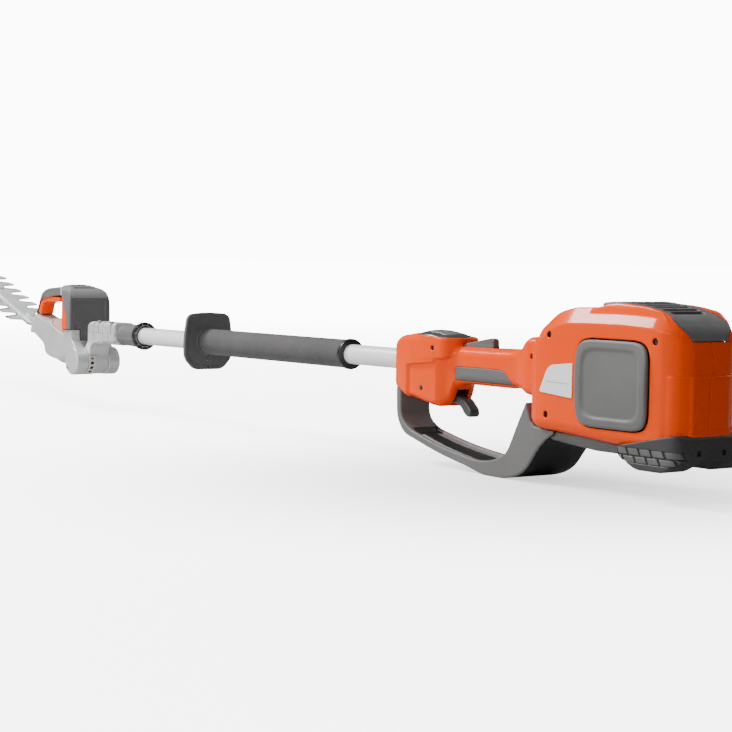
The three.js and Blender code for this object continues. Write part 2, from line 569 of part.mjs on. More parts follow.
function lugs() {
  const sides = [[PIVOT.tongue + GAP + 0.1, PIVOT.half], [-PIVOT.half, -PIVOT.tongue - GAP - 0.1]];
  return joined(...sides.map(([y0, y1]) => {
    const ear = prism('xz', EAR_PROFILE.map(([x, z, r]) => [...inHead(x, z), r]), y0, y1);
    return joined(rod('y', PIVOT.r, y0, y1, 0, 0, 20), ear);
  }));
}

function gearCase() {
  const outer = bowl([[-24, 15], [-22, 8], [-16, 2.5], [-6, 0], [SEAM, 0]]);
  const inner = bowl([[-21, 15], [-19.5, 9], [-14, 5], [-5, 3], [SEAM + 5, 3]])
    .add(rod('z', 23, -27, 0, 86, 0, 20));
  const noseSide = [[90, -23], [172, -23, 3], [182, -20, 4], [184, -2, 3], [174, 8, 4], [142, 10, 10],
    [114, 21.5, 4], [90, 21.5]];
  const nosePlan = mirroredAcross([[90, 28], [118, 24, 6], [134, 19, 6], [184, 15, 4]]);
  const screwBosses = [12, -12].map(v => rod('z', 4.5, -25, -1, 183, v, 12));
  const sump = loft([[-31, 10], [-29.5, 5], [-26, 1], [-12, 0]].map(([w, inset]) => ({
    at: w, points: circle(88, 27 - inset, 18),
  })), (w, [u, v]) => [u, v, w]);
  const nose = prism('xz', noseSide, -30, 30).intersect(prism('xy', nosePlan, -40, 40));
  const channel = box(100, 200, -BAR.half - 0.8, BAR.half + 0.8, -19.8, -11.2);
  const yokeRoom = box(100, 130.5, -17.6, 17.6, -19.8, -13.6);
  const rearMouth = rod('x', 2.6, 15, 40, 11.5, 0, 12);
  const tongueRoom = rod('y', PIVOT.r + 2.2, -PIVOT.tongue - 0.4, PIVOT.tongue + 0.4, 0, 0, 24);
  const solid = joined(outer, lugs().subtract(inner), nose, sump, ...screwBosses);
  const bore = rod('y', 6 + GAP, -PIVOT.half + 1.6, PIVOT.half - 1.6, 0, 0, 20);
  return cut(solid, inner, channel, yokeRoom, rearMouth, tongueRoom, bore);
}

function toothed(teeth, offset, low, high) {
  const { module } = GEAR;
  const r = module * teeth / 2;
  const points = [];
  for (let k = 0; k < teeth; k += 1) {
    const a = (k + offset) / teeth * 2 * Math.PI;
    const p = Math.PI / teeth;
    const [root, crest] = [r - module * 1.25, r + module * 0.9];
    for (const [radius, turn] of [[root, -0.58], [crest, -0.2], [crest, 0.2], [root, 0.58]]) {
      points.push([radius * Math.cos(a + turn * p), radius * Math.sin(a + turn * p)]);
    }
  }
  return prism('xy', points, low, high);
}

function shifted(solid, u) {
  return solidOf(geometryOf(solid).translate(u, 0, 0));
}

function cam(direction, low, high) {
  const reach = direction * STROKE;
  const side = Math.sign(direction);
  const stadium = new THREE.Shape();
  stadium.absarc(reach, 0, CAM.r, -Math.PI / 2 * side, Math.PI / 2 * side, false);
  stadium.absarc(0, 0, CAM.r, Math.PI / 2 * side, -Math.PI / 2 * side, false);
  return prism('xy', stadium, low, high, 8);
}

function addDrive() {
  const lidPlate = bowl([[SEAM - 4, 3 + GAP], [SEAM - 0.5, 3 + GAP]]);
  const lid = cut(lidPlate.add(rod('z', 11, 12, SEAM - 2, CRANK_U, 0, 24)),
    rod('z', 9 + GAP, 10, 18.4, CRANK_U, 0, 24), rod('z', 4.5, 0, 40, MOTOR.u, 0, 16),
    box(20, 60, -17, 17, 12, 40));
  add(head, 'gear_lid', lid, CAST);
  const pinion = toothed(GEAR.pinionTeeth, 0, GEAR.low - 0.5, GEAR.high + 0.5);
  const rotor = joined(pinion, rod('z', MOTOR.shaft, 2, 68, 0, 0, 12),
    rod('z', MOTOR.rotor, 34, 60, 0, 0, 20));
  add(head, 'motor_rotor', shifted(rotor, MOTOR.u), STEEL);
  add(head, 'motor_stator', tubeRing('z', MOTOR.can, MOTOR.bore, 32, 62, MOTOR.u, 0, 24), COPPER);
  const upperCam = cam(1, -16.85, GEAR.low);
  const lowerCam = cam(-1, -20, -16.85);
  const wheel = joined(toothed(GEAR.wheelTeeth, 0.5, GEAR.low, GEAR.high), upperCam, lowerCam,
    rod('z', 4.6, 9, 17.8, 0, 0, 16));
  add(head, 'crank_gear', shifted(wheel, CRANK_U), STEEL);
  add(head, 'crank_bearing', tubeRing('z', 9, 4.7, 12.4, 18, CRANK_U, 0, 24), STEEL);
}

// ---------------------------------------------------------------- blades and guide bar (head frame)
const boltPlaces = Array.from({ length: BOLT.count }, (_, i) => 222 + i * 4 * BLADE.pitch + 3);

function bladeOutline(shift, half) {
  const near = [];
  const first = BLADE.from + 8 + shift;
  const teeth = Math.floor((BLADE.to - 21 - first) / BLADE.pitch) + 1;
  for (let k = 0; k < teeth; k += 1) {
    const u = first + k * BLADE.pitch;
    near.push([u, half], [u + 5, half + BLADE.tooth], [u + 10.5, half + BLADE.tooth], [u + 17, half]);
  }
  return near;
}

function blade(shift, low) {
  const high = low + BLADE.thick;
  const near = bladeOutline(shift, BLADE.half);
  const edge = [[CRANK_U + 22, 10.5], [196, 10.5], [202, BLADE.half], ...near, [BLADE.to - 4, BLADE.half],
    [BLADE.to, BLADE.half - 5]];
  const plate = prism('xy', edge.concat(edge.slice().reverse().map(([u, v]) => [u, -v])), low, high);
  const reach = STROKE + STROKE + CAM.r + CAM.clear;
  const width = STROKE + CAM.r + CAM.clear;
  const frame = box(CRANK_U - reach - 4, CRANK_U + reach + 4, -width - 4, width + 4, low, high);
  const slots = boltPlaces.map(u => box(u - BOLT.r - STROKE - 0.6, u + BOLT.r + STROKE + 0.6, -BOLT.r - 0.5,
    BOLT.r + 0.5, low - 1, high + 1));
  const yoke = box(CRANK_U - reach, CRANK_U + reach, -width, width, low - 1, high + 1);
  return cut(plate.add(frame), yoke, ...slots);
}

function addBlades() {
  const upperLow = BLADE.top - BLADE.thick;
  const lowerLow = upperLow - GAP - BLADE.thick;
  add(head, 'upper_blade', blade(0, upperLow), STEEL);
  add(head, 'lower_blade', blade(BLADE.pitch / 2 - 4, lowerLow), STEEL);
  const barLow = BLADE.top + GAP;
  const barHigh = barLow + BAR.thick;
  const plan = mirroredAcross([[BAR.from + 10, BAR.half - 0.3], [BAR.to - 16, BAR.half],
    [BAR.to, BAR.half - 5]]);
  const bolts = boltPlaces.flatMap(u => [
    rod('z', BOLT.r, lowerLow - 3, barHigh + 1, u, 0, 8),
    rod('z', BOLT.head, barHigh - 0.1, barHigh + 3.4, u, 0, 10),
    rod('z', BOLT.head, lowerLow - 3.4, lowerLow - GAP, u, 0, 10),
  ]);
  const bar = joined(prism('xy', plan, barLow, barHigh), ...bolts);
  const tip = prism('xy', [[BAR.to + GAP, -18, 6], [BAR.to + 14, -12, 6], [BAR.to + 14, 12, 6],
    [BAR.to + GAP, 18, 6]], lowerLow - 1, barHigh + 1);
  add(head, 'guide_bar', bar, STEEL);
  add(head, 'tip_guard', tip, DARK);
}

// ---------------------------------------------------------------- motor housing and head handle
// Drawn upright, in the tube's frame, with the head in its rest tilt.
function fromHead(solid) {
  const geometry = geometryOf(solid).rotateY(-TILT).translate(PIVOT.x, 0, PIVOT.z);
  return solidOf(geometry);
}

const HOUSING_SIDE = [[781, seamHeight(781, SEAM + GAP)], [780, 2], [781, 50, 8], [790, 64, 14],
  [816, 73, 20], [838, 71, 14], [852, 62, 6], [850, 44, 6], [848, seamHeight(848, SEAM + GAP)]];

function housingBlock() {
  const across = mirrored([[37, -40], [36.5, 30], [35, 50, 8], [32, 64, 10], [12, 73, 24]]);
  const plan = mirroredAcross([[780, 35, 3], [787, 37, 4], [807, 36, 10], [836, 20, 10], [850, 12, 3]]);
  return prism('xz', HOUSING_SIDE, -50, 50, 4)
    .intersect(prism('yz', across, 770, 880, 4))
    .intersect(prism('xy', plan, -60, 90, 3));
}

const LOOP_OUTER = [[836, 69], [857, 67.5, 20], [905, 64, 24], [923, 57, 12], [932, 40, 16], [941, 23, 3],
  [938, 20], [906, 21], [906, 30], [836, 30]];
const LEVER_TOP = [[861, 51, 3], [861, 43.5, 3], [912, 42, 8], [920, 38, 5], [926, 22, 2], [932, 22.5, 2],
  [935, 26, 2], [926.5, 43, 3], [923, 46.5, 2], [916, 53.5, 4], [908, 54, 4], [888, 51.3, 30]];
const LOOP_WINDOW = [[846, 54], [856, 53.6], [888, 51.7, 30], [919, 46.6, 10], [928, 43, 4], [937, 24, 2],
  [937, 10], [846, 10]];
const LEVER_CHANNEL = [[858, 58.5, 3], [908, 58, 6], [918, 55, 5], [926.8, 46, 3], [926.8, 15], [856, 15]];
const LINER_SIDE = [[791, -40], [791, 18], [803, 41, 8], [810, 54, 6], [862, 53.5], [862, -40]];

function addHeadCovers() {
  const block = housingBlock();
  const shellSide = grow => [[785 - grow, -40], [785 - grow, 44 + grow, 6], [796, 57 + grow, 6],
    [900, 62 + grow], [900, -40]];
  const coverRoom = grow => cut(box(760, 900, -31 - grow, 31 + grow, -60, 90),
    prism('xz', shellSide(-grow), -60, 60));
  const louvres = [797, 806, 815, 824].map(x => box(x, x + 4, -19, 19, 64, 90));
  const cavity = fromHead(rod('z', MOTOR.can + 3, 20, 72, MOTOR.u, 0, 24));
  const earRoom = joined(box(760, 830, PIVOT.tongue - 1, 50, -60, 3),
    box(760, 830, -50, 1 - PIVOT.tongue, -60, 3));
  const cover = cut(block.intersect(coverRoom(0)), cavity, earRoom, ...louvres);
  add(tool, 'motor_cover', cover, DARK);
  const hood = block.intersect(coverRoom(GAP));
  const hoodRoom = joined(hood, hood.translate([GAP + 0.1, 0, 0]), hood.translate([0, 0, GAP + 0.1]));
  const loop = cut(prism('xz', LOOP_OUTER, -13, 13, 4), hoodRoom);
  const window = prism('xz', LOOP_WINDOW, -30, 30, 3);
  const channel = prism('xz', LEVER_CHANNEL, -11.8, 11.8, 3);
  const linerSide = grow => LINER_SIDE.map(([x, z, r]) => [x - grow, z + grow, r]);
  const shellBack = cut(block, coverRoom(GAP), prism('xz', linerSide(GAP), -60, 60));
  const handle = cut(loop, window, channel, prism('xz', linerSide(GAP), -60, 60),
    rod('y', 2 + GAP, -30, 30, LEVER_PIVOT.x, LEVER_PIVOT.z, 12));
  const shell = cut(joined(shellBack, handle), cavity, earRoom);
  add(tool, 'head_shell', shell, GREY);
  const liner = block.intersect(prism('xz', linerSide(0), -60, 60));
  add(tool, 'handle_liner', cut(liner, coverRoom(GAP), cavity, earRoom), ORANGE);
  const pivotBore = rod('y', 2 + 0.1, -20, 20, LEVER_PIVOT.x, LEVER_PIVOT.z, 12);
  add(tool, 'tilt_lever', cut(prism('xz', LEVER_TOP, -11.4, 11.4, 3), pivotBore), ORANGE);
  add(tool, 'lever_pin', rod('y', 2, -12.4, 12.4, LEVER_PIVOT.x, LEVER_PIVOT.z, 12), STEEL);
}

const LEVER_PIVOT = { x: 915.5, z: 48.5 };

function addHeadPivot() {
  add(head, 'lock_pin', rod('x', 2.2, 20.2, 38, 11.5, 0, 12), STEEL);
  add(head, 'gear_case', gearCase(), CAST);
}

// ---------------------------------------------------------------- assembly
addHandle();
addTrigger();
addBody();
addBattery();
addGuard();
addFoot();
addTube();
addClamp();
addStrap();
addHeadPivot();
addDrive();
addBlades();
addHeadCovers();

const bounds = new THREE.Box3().setFromObject(tool);
tool.position.set(-(bounds.min.x + bounds.max.x) / 2, -(bounds.min.y + bounds.max.y) / 2, -bounds.min.z);

const hedgeTrimmer = new THREE.Group();
hedgeTrimmer.add(tool);

export default hedgeTrimmer;
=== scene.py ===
"""Looks of the pole hedge trimmer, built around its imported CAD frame.

Moulded and cast pieces are distance fields, meshed on a fine grid. Each is drawn in millimetres in the tool's
own frame or in the cutter head's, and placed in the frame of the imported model. In the tool's frame X runs
forward along the tube, Y left and Z up, with the tube's axis at y = z = 0. In the head's frame, from the tilt
pivot, u runs along the blades, v left and w up.
"""
import functools
import json
import math

import bpy
import numpy as np
from mathutils import Matrix, Vector


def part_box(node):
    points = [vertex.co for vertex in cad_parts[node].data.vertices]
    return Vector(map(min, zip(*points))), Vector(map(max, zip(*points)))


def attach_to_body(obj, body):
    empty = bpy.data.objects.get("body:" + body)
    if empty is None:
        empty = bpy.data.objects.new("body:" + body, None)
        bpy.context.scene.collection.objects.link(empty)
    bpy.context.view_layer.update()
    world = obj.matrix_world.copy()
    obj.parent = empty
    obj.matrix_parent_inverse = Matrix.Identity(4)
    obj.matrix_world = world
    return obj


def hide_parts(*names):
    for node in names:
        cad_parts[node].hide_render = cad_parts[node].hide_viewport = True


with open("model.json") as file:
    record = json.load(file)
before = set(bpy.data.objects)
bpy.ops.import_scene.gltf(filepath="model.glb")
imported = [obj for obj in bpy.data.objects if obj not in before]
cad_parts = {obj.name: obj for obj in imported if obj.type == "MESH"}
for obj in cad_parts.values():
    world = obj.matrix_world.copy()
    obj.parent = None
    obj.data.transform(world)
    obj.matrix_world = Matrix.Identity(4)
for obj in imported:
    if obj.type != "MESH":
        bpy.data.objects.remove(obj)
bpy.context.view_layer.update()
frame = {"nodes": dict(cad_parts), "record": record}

# ---------------- frames of reference
TUBE_FROM, TUBE_R = -66.0, 12.5
TUBE_LOW, TUBE_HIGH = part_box("tube")
ORIGIN = np.array([TUBE_LOW.x * 1000 - TUBE_FROM, 0.0, (TUBE_LOW.z + TUBE_HIGH.z) * 500])
PIVOT = (771.0, -45.0)  # the head's tilt axis, as (x, z)
TILT = math.radians(19.4)  # of the head, as packed
COARSE = 1.0
SIDES = (("left", 1), ("right", -1))
GAP = 0.35  # between a piece and the one it fits into
WALL = 2.6  # of the moulded shells
CLAMP_BORE, RING_BORE = 12.8, 12.9  # radii of what grips the tube and of what is slid onto it


def in_row(points):
    """Tool-frame millimetres to row metres."""
    return (np.asarray(points, float) + ORIGIN) / 1000


def head_to_tool(points):
    """Cutter-head millimetres (u along the blades, v left, w up) to the tool's frame."""
    u, v, w = np.asarray(points, float).T
    x = PIVOT[0] + u * math.cos(TILT) - w * math.sin(TILT)
    z = PIVOT[1] + u * math.sin(TILT) + w * math.cos(TILT)
    return np.stack([x, v, z], 1)


# ---------------- distance fields
def smax(a, b, k):
    """The larger of two fields, with the edge between them rounded over k."""
    h = np.clip(0.5 + 0.5 * (a - b) / k, 0, 1)
    return b + (a - b) * h + k * h * (1 - h)


def smin(a, b, k):
    return -smax(-a, -b, k)


def meet(*fields):
    """What lies inside all of the fields."""
    return functools.reduce(np.maximum, fields)


def cut(d, *tools):
    """The field d without what lies inside the tools."""
    return functools.reduce(lambda rest, tool: np.maximum(rest, -tool), tools, d)


def ramp(value, width):
    """0 below 0, 1 above width, smooth between."""
    t = np.clip(value / width, 0, 1)
    return t * t * (3 - 2 * t)


def rounded(corners, steps=4):
    """Outline points from corners (a, b) or (a, b, radius)."""
    points = []
    count = len(corners)
    for i, corner in enumerate(corners):
        here = np.array(corner[:2], float)
        radius = corner[2] if len(corner) > 2 else 0
        before = np.array(corners[i - 1][:2], float)
        after = np.array(corners[(i + 1) % count][:2], float)
        to_before, to_after = np.linalg.norm(here - before), np.linalg.norm(here - after)
        reach = min(radius, to_before * 0.49, to_after * 0.49)
        if reach <= 0:
            points.append(here)
            continue
        start = here + (before - here) * reach / to_before
        end = here + (after - here) * reach / to_after
        for k in range(steps + 1):
            t = k / steps
            points.append(start * (1 - t) ** 2 + here * 2 * t * (1 - t) + end * t * t)
    return np.array(points)


def inside(points, a, b):
    """Signed distance from a closed outline in the plane of a and b."""
    nearest = None
    within = np.zeros(np.broadcast(a, b).shape, bool)
    for (a0, b0), (a1, b1) in zip(points, np.roll(points, -1, 0)):
        ea, eb = a1 - a0, b1 - b0
        length = ea * ea + eb * eb
        if length < 1e-9:
            continue
        t = np.clip(((a - a0) * ea + (b - b0) * eb) / length, 0, 1)
        far = (a - a0 - ea * t) ** 2 + (b - b0 - eb * t) ** 2
        nearest = far if nearest is None else np.minimum(nearest, far)
        crossing = ((b0 > b) != (b1 > b)) & (a < ea * (b - b0) / (eb or 1) + a0)
        within = within ^ crossing
    return np.where(within, -1.0, 1.0) * np.sqrt(nearest)


def line_distance(points, a, b):
    """Distance from an open polyline."""
    nearest = None
    for (a0, b0), (a1, b1) in zip(points, points[1:]):
        ea, eb = a1 - a0, b1 - b0
        t = np.clip(((a - a0) * ea + (b - b0) * eb) / (ea * ea + eb * eb), 0, 1)
        far = (a - a0 - ea * t) ** 2 + (b - b0 - eb * t) ** 2
        nearest = far if nearest is None else np.minimum(nearest, far)
    return np.sqrt(nearest)


def slab(value, low, high):
    return np.abs(value - (low + high) / 2) - (high - low) / 2


def block(x, y, z, x0, x1, y0, y1, z0, z1):
    return meet(slab(x, x0, x1), slab(y, y0, y1), slab(z, z0, z1))


def about(x, z, centre):
    """Distance from a centre in the side view."""
    return np.hypot(x - centre[0], z - centre[1])


def span(side, near, far):
    """Bounds across the tool of what reaches from near to far on one side of it."""
    return sorted((near * side, far * side))


def mirrored(right):
    """Corners given on one side, closed with their mirror image across the first axis."""
    return right + [(-c[0], *c[1:]) for c in reversed(right)]


def across_both(corners):
    """Plan corners given on the left side, closed with their mirror image on the right."""
    inner = [c for c in corners if c[1]]
    return inner + [(c[0], -c[1], *c[2:]) for c in reversed(inner)]


def bar_section(y, z, half, low, high, r):
    """A rounded rectangle across the tool."""
    qy = np.abs(y) - half + r
    qz = np.abs(z - (low + high) / 2) - (high - low) / 2 + r
    outside = np.hypot(np.maximum(qy, 0), np.maximum(qz, 0))
    return outside + np.minimum(np.maximum(qy, qz), 0) - r


def curve(xs, ys):
    """A smooth curve through stations that never overshoots between them."""
    order = np.argsort(xs)
    xs, ys = np.array(xs, float)[order], np.array(ys, float)[order]
    step, slope = np.diff(xs), np.diff(ys) / np.diff(xs)
    tangent = np.zeros(len(xs))
    for i in range(1, len(xs) - 1):
        if slope[i - 1] * slope[i] > 0:
            w1, w2 = 2 * step[i] + step[i - 1], step[i] + 2 * step[i - 1]
            tangent[i] = (w1 + w2) / (w1 / slope[i - 1] + w2 / slope[i])
    tangent[0], tangent[-1] = slope[0], slope[-1]

    def value(x):
        x = np.clip(x, xs[0], xs[-1])
        i = np.clip(np.searchsorted(xs, x) - 1, 0, len(step) - 1)
        t = (x - xs[i]) / step[i]
        rise = ys[i] * (1 + 2 * t) * (1 - t) ** 2 + ys[i + 1] * t * t * (3 - 2 * t)
        return rise + step[i] * (tangent[i] * t * (1 - t) ** 2 - tangent[i + 1] * t * t * (1 - t))

    return value


def station_curves(stations):
    columns = list(zip(*stations))
    return [curve(columns[0], column) for column in columns[1:]]


# ---------------- field to mesh
def crossings(values):
    """Grid edges that cross the surface: per axis, their start indices and crossing parameter."""
    solid = values < 0
    found = []
    for axis in range(3):
        lower = [slice(None)] * 3
        upper = [slice(None)] * 3
        lower[axis], upper[axis] = slice(0, -1), slice(1, None)
        lower, upper = tuple(lower), tuple(upper)
        start = np.argwhere(solid[lower] != solid[upper])
        a = values[lower][tuple(start.T)]
        b = values[upper][tuple(start.T)]
        found.append((start, a / (a - b), a < 0))
    return found


def net(field, low, high, step):
    """Vertices and quads of the surface field = 0 inside a box, by surface nets."""
    low = np.array(low, float) - 2 * step
    counts = np.ceil((np.array(high, float) + 2 * step - low) / step).astype(int) + 1
    axes = [low[k] + step * np.arange(counts[k]) for k in range(3)]
    grid = (axes[0][:, None, None], axes[1][None, :, None], axes[2][None, None, :])
    values = np.broadcast_to(field(*grid), counts).astype(np.float32)
    keys, places, quads, flips = [], [], [], []
    stride = np.array([counts[1] * counts[2], counts[2], 1])
    for axis, (start, t, first_inside) in enumerate(crossings(values)):
        place = start.astype(float)
        place[:, axis] += t
        p, q = (axis + 1) % 3, (axis + 2) % 3
        corners = []
        for dp, dq in ((-1, -1), (0, -1), (0, 0), (-1, 0)):
            cell = start.copy()
            cell[:, p] += dp
            cell[:, q] += dq
            corners.append(cell @ stride)
            keys.append(corners[-1])
            places.append(place)
        quads.append(np.stack(corners, 1))
        flips.append(first_inside)
    unique, index = np.unique(np.concatenate(keys), return_inverse=True)
    places = np.concatenate(places)
    total = np.bincount(index)
    points = np.stack([np.bincount(index, places[:, k]) / total for k in range(3)], 1)
    faces = np.searchsorted(unique, np.concatenate(quads))
    flip = ~np.concatenate(flips)
    faces[flip] = faces[flip][:, ::-1]
    return settle(field, values, points, low, step), faces


def settle(field, values, points, low, step):
    """Moves vertices onto the surface along the grid's gradient, by at most a third of a cell."""
    gradient = np.gradient(values, step)
    cell = np.clip(np.round(points).astype(int), 0, np.array(values.shape) - 1)
    normal = np.stack([g[tuple(cell.T)] for g in gradient], 1)
    place = low + points * step
    off = np.broadcast_to(field(*place.T), len(place))
    length = np.maximum((normal ** 2).sum(1), 0.09)
    move = np.clip(-off / length, -step / 3, step / 3)
    return place + normal * move[:, None]


def mesh_object(name, vertices, faces, material, smooth=True):
    mesh = bpy.data.meshes.new(name)
    mesh.from_pydata(np.asarray(vertices).tolist(), [], np.asarray(faces).tolist()
                     if isinstance(faces, np.ndarray) else faces)
    mesh.update()
    mesh.materials.append(material)
    if smooth:
        mesh.shade_smooth()
    obj = bpy.data.objects.new(name, mesh)
    bpy.context.scene.collection.objects.link(obj)
    return obj


def attach(obj, body, nodes):
    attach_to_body(obj, body)
    if nodes:
        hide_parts(*nodes)
    return obj


def moulded(name, field, low, high, step, body, nodes, material, upright=True):
    """A piece from its field. upright: drawn in the tool's frame, else in the cutter head's."""
    points, faces = net(field, low, high, step * COARSE)
    placed = in_row(points if upright else head_to_tool(points))
    return attach(mesh_object(name, placed, faces, material), body, nodes)


def paint(obj, material, test):
    """Gives another material to the faces that pass test(x, y, z, normals), in the tool's millimetres."""
    mesh = obj.data
    mesh.materials.append(material)
    count = len(mesh.polygons)
    centres, normals = np.empty(count * 3), np.empty(count * 3)
    index = np.zeros(count, np.int32)
    mesh.polygons.foreach_get("center", centres)
    mesh.polygons.foreach_get("normal", normals)
    mesh.polygons.foreach_get("material_index", index)
    places = centres.reshape(-1, 3) * 1000 - ORIGIN
    index[test(*places.T, normals.reshape(-1, 3))] = len(mesh.materials) - 1
    mesh.polygons.foreach_set("material_index", index)


def turned(name, profile, body, nodes, material, segments=96):
    """A ring turned about the tube's axis, from a closed profile of (x, radius)."""
    profile = np.array(profile, float)
    count = len(profile)
    angles = np.arange(segments) * 2 * math.pi / segments
    points = [(x, r * math.cos(a), r * math.sin(a)) for a in angles for x, r in profile]
    faces = []
    for i in range(segments):
        for j in range(count):
            a, b = i * count + j, i * count + (j + 1) % count
            c, d = (i + 1) % segments * count + (j + 1) % count, (i + 1) % segments * count + j
            faces.append((a, b, c, d))
    obj = mesh_object(name, in_row(points), faces, material, smooth=False)
    shade_by_angle(obj, 40)
    return attach(obj, body, nodes)


def shade_by_angle(obj, degrees):
    mesh = obj.data
    mesh.shade_smooth()
    mesh.set_sharp_from_angle(angle=math.radians(degrees))


def ring_profile(x0, x1, inner, outer, r):
    """Section of a ring with rounded outer corners."""
    return rounded([(x0, inner), (x1, inner), (x1, outer, r), (x0, outer, r)], 4)


# ---------------- materials
class Shading:
    """A new material, with calls that add the nodes its looks are made of."""

    def __init__(self, name):
        self.material = bpy.data.materials.new(name)
        self.material.use_nodes = True
        self.nodes, self.links = self.material.node_tree.nodes, self.material.node_tree.links
        self.shader = self.nodes["Principled BSDF"]
        self.place = self.node("TexCoord").outputs["Object"]

    def node(self, kind, **inputs):
        """A new node. Inputs are named in lower case, _ for a space, and take a number, colour or socket."""
        return new_node(self.nodes, self.links, kind, **inputs)

    def finish(self, **inputs):
        set_inputs(self.links, self.shader, inputs)
        return self.material

    def noise(self, scale, detail=3.0, roughness=0.5, stretch=None):
        place = self.place
        if stretch:
            turn = (0, -TILT, 0)
            place = self.node("Mapping", vector=place, scale=stretch, rotation=turn).outputs["Vector"]
        texture = self.node("TexNoise", vector=place, scale=scale, detail=detail, roughness=roughness)
        return texture.outputs[0]

    def spread(self, value, low, high, start=0.35, end=0.65, easing="LINEAR"):
        """A number between low and high, from a value between start and end."""
        scale = self.node("MapRange", value=value, from_min=start, from_max=end, to_min=low, to_max=high)
        scale.interpolation_type = easing
        return scale.outputs["Result"]

    def mix(self, factor, first, second):
        blend = self.nodes.new("ShaderNodeMix")
        blend.data_type = "RGBA"
        set_inputs(self.links, blend, {"factor": factor, "a": first, "b": second})
        return blend.outputs["Result"]

    def tint(self, value, colour, change):
        """Base colour that drifts a little lighter and darker with a texture."""
        darker = (*[c * (1 - change) for c in colour], 1)
        lighter = (*[min(c * (1 + change), 1) for c in colour], 1)
        return self.mix(self.spread(value, 0, 1), darker, lighter)

    def bump(self, height, strength, distance, **under):
        relief = self.node("Bump", height=height, strength=strength, distance=distance, **under)
        return relief.outputs["Normal"]


def set_inputs(links, node, inputs):
    sockets = {socket.name.lower().replace(" ", "_"): socket for socket in node.inputs if socket.enabled}
    for name, value in inputs.items():
        if isinstance(value, bpy.types.NodeSocket):
            links.new(value, sockets[name])
        else:
            sockets[name].default_value = value


def new_node(nodes, links, kind, **inputs):
    node = nodes.new("ShaderNode" + kind)
    set_inputs(links, node, inputs)
    return node


def moulded_plastic(name, colour, rough, grain, depth, coat=0.0, change=0.06, gloss_drift=0.05, shine=0.5):
    """Moulded plastic: spark-eroded grain, faint drifts of colour and gloss."""
    look = Shading(name)
    smear = look.noise(55, 5)
    return look.finish(
        base_color=look.tint(look.noise(14, 4), colour, change),
        roughness=look.spread(smear, rough - gloss_drift, rough + gloss_drift),
        normal=look.bump(look.noise(grain, 2, 0.6), 0.5, depth),
        ior=1.5, specular_ior_level=shine, coat_weight=coat, coat_roughness=0.08)


def metal(name, colour, rough, metallic, grain, depth, stretch=None, change=0.08):
    """Cast or ground metal: grain or grinding marks, with cloudy gloss."""
    look = Shading(name)
    fine = look.noise(grain, 3, 0.6, stretch)
    return look.finish(
        base_color=look.tint(look.noise(30, 4), colour, change),
        roughness=look.spread(fine, rough - 0.07, rough + 0.07),
        normal=look.bump(fine, 0.5, depth), metallic=metallic)


def foam_material(name, colour):
    """Closed-cell foam: small cells, a dull nap and soft mottling."""
    look = Shading(name)
    cells = look.node("TexVoronoi", vector=look.place, scale=900).outputs[0]
    cell_relief = look.bump(cells, 0.45, 0.00025)
    return look.finish(
        base_color=look.tint(look.noise(22, 5, 0.6), colour, 0.12),
        normal=look.bump(look.noise(160, 4), 0.35, 0.0004, normal=cell_relief),
        roughness=0.85, sheen_weight=0.1, sheen_roughness=0.5)


ORANGE = moulded_plastic("orange_gloss", (1.0, 0.076, 0.0003), 0.22, 900, 0.000006, coat=0.1, change=0.01,
                         gloss_drift=0.015, shine=0.08)
GREY = moulded_plastic("grey_textured", (0.14, 0.14, 0.138), 0.46, 1500, 0.00012, shine=0.35)
LIGHT_GREY = moulded_plastic("light_grey_textured", (0.45, 0.45, 0.445), 0.42, 1500, 0.0001)
DARK = moulded_plastic("dark_textured", (0.108, 0.107, 0.109), 0.5, 1500, 0.00012)
DARK_GLOSS = moulded_plastic("dark_gloss", (0.05, 0.053, 0.054), 0.3, 1100, 0.00005, coat=0.3)
BLACK = moulded_plastic("black_plastic", (0.006, 0.006, 0.006), 0.35, 1300, 0.00008, coat=0.15)
CABLE = moulded_plastic("cable_sheath", (0.01, 0.01, 0.01), 0.6, 700, 0.0001)
FOAM = foam_material("foam_nap", (0.062, 0.059, 0.06))
TUBE_PAINT = moulded_plastic("tube_paint", (0.96, 0.955, 0.965), 0.28, 500, 0.00003, coat=0.5, change=0.015)
CAST = metal("cast_silver", (0.68, 0.68, 0.69), 0.42, 0.45, 1100, 0.0001)
STEEL = metal("ground_steel", (0.8, 0.81, 0.82), 0.4, 0.5, 260, 0.00004, stretch=(0.04, 1.0, 1.0))
# Screws near black: painted shade, so the pits they sit in look dark.
SCREW = metal("blackened_steel", (0.09, 0.085, 0.085), 0.4, 0.9, 500, 0.00003)
# Darker steel for the lower blade: painted shade of the upper blade and bolts falling on it.
BLADE_STEEL_PAINTED_SHADE = metal("oiled_steel", (0.3, 0.31, 0.31), 0.4, 0.5, 260, 0.00004, stretch=(0.04, 1.0, 1.0))
TURNED = metal("turned_steel", (0.5, 0.5, 0.51), 0.3, 1.0, 500, 0.00003)
STRAP = metal("zinc_strap", (0.8, 0.76, 0.68), 0.45, 0.25, 700, 0.00004)
COPPER = metal("copper_winding", (0.6, 0.23, 0.08), 0.35, 0.9, 900, 0.0003)
LABEL = moulded_plastic("label_white", (0.95, 0.95, 0.94), 0.3, 1500, 0.00002, coat=0.4, change=0.01)
BOARD = moulded_plastic("board_green", (0.02, 0.12, 0.05), 0.35, 400, 0.0001)
KEY_FILM = moulded_plastic("key_film", (0.17, 0.175, 0.175), 0.3, 1200, 0.00003, coat=0.2)
GREY_DARKER = moulded_plastic("grey_darker", (0.1, 0.1, 0.098), 0.48, 1500, 0.00012)
FOOT_GREY = moulded_plastic("foot_grey", (0.045, 0.044, 0.045), 0.5, 1500, 0.00012, shine=0.35)
# Lighter grey for the hood's upward-facing top faces: painted light from above.
HOOD_TOP_PAINTED_LIGHT = moulded_plastic("louvre_grey", (0.21, 0.21, 0.212), 0.5, 1500, 0.00012, shine=0.35)
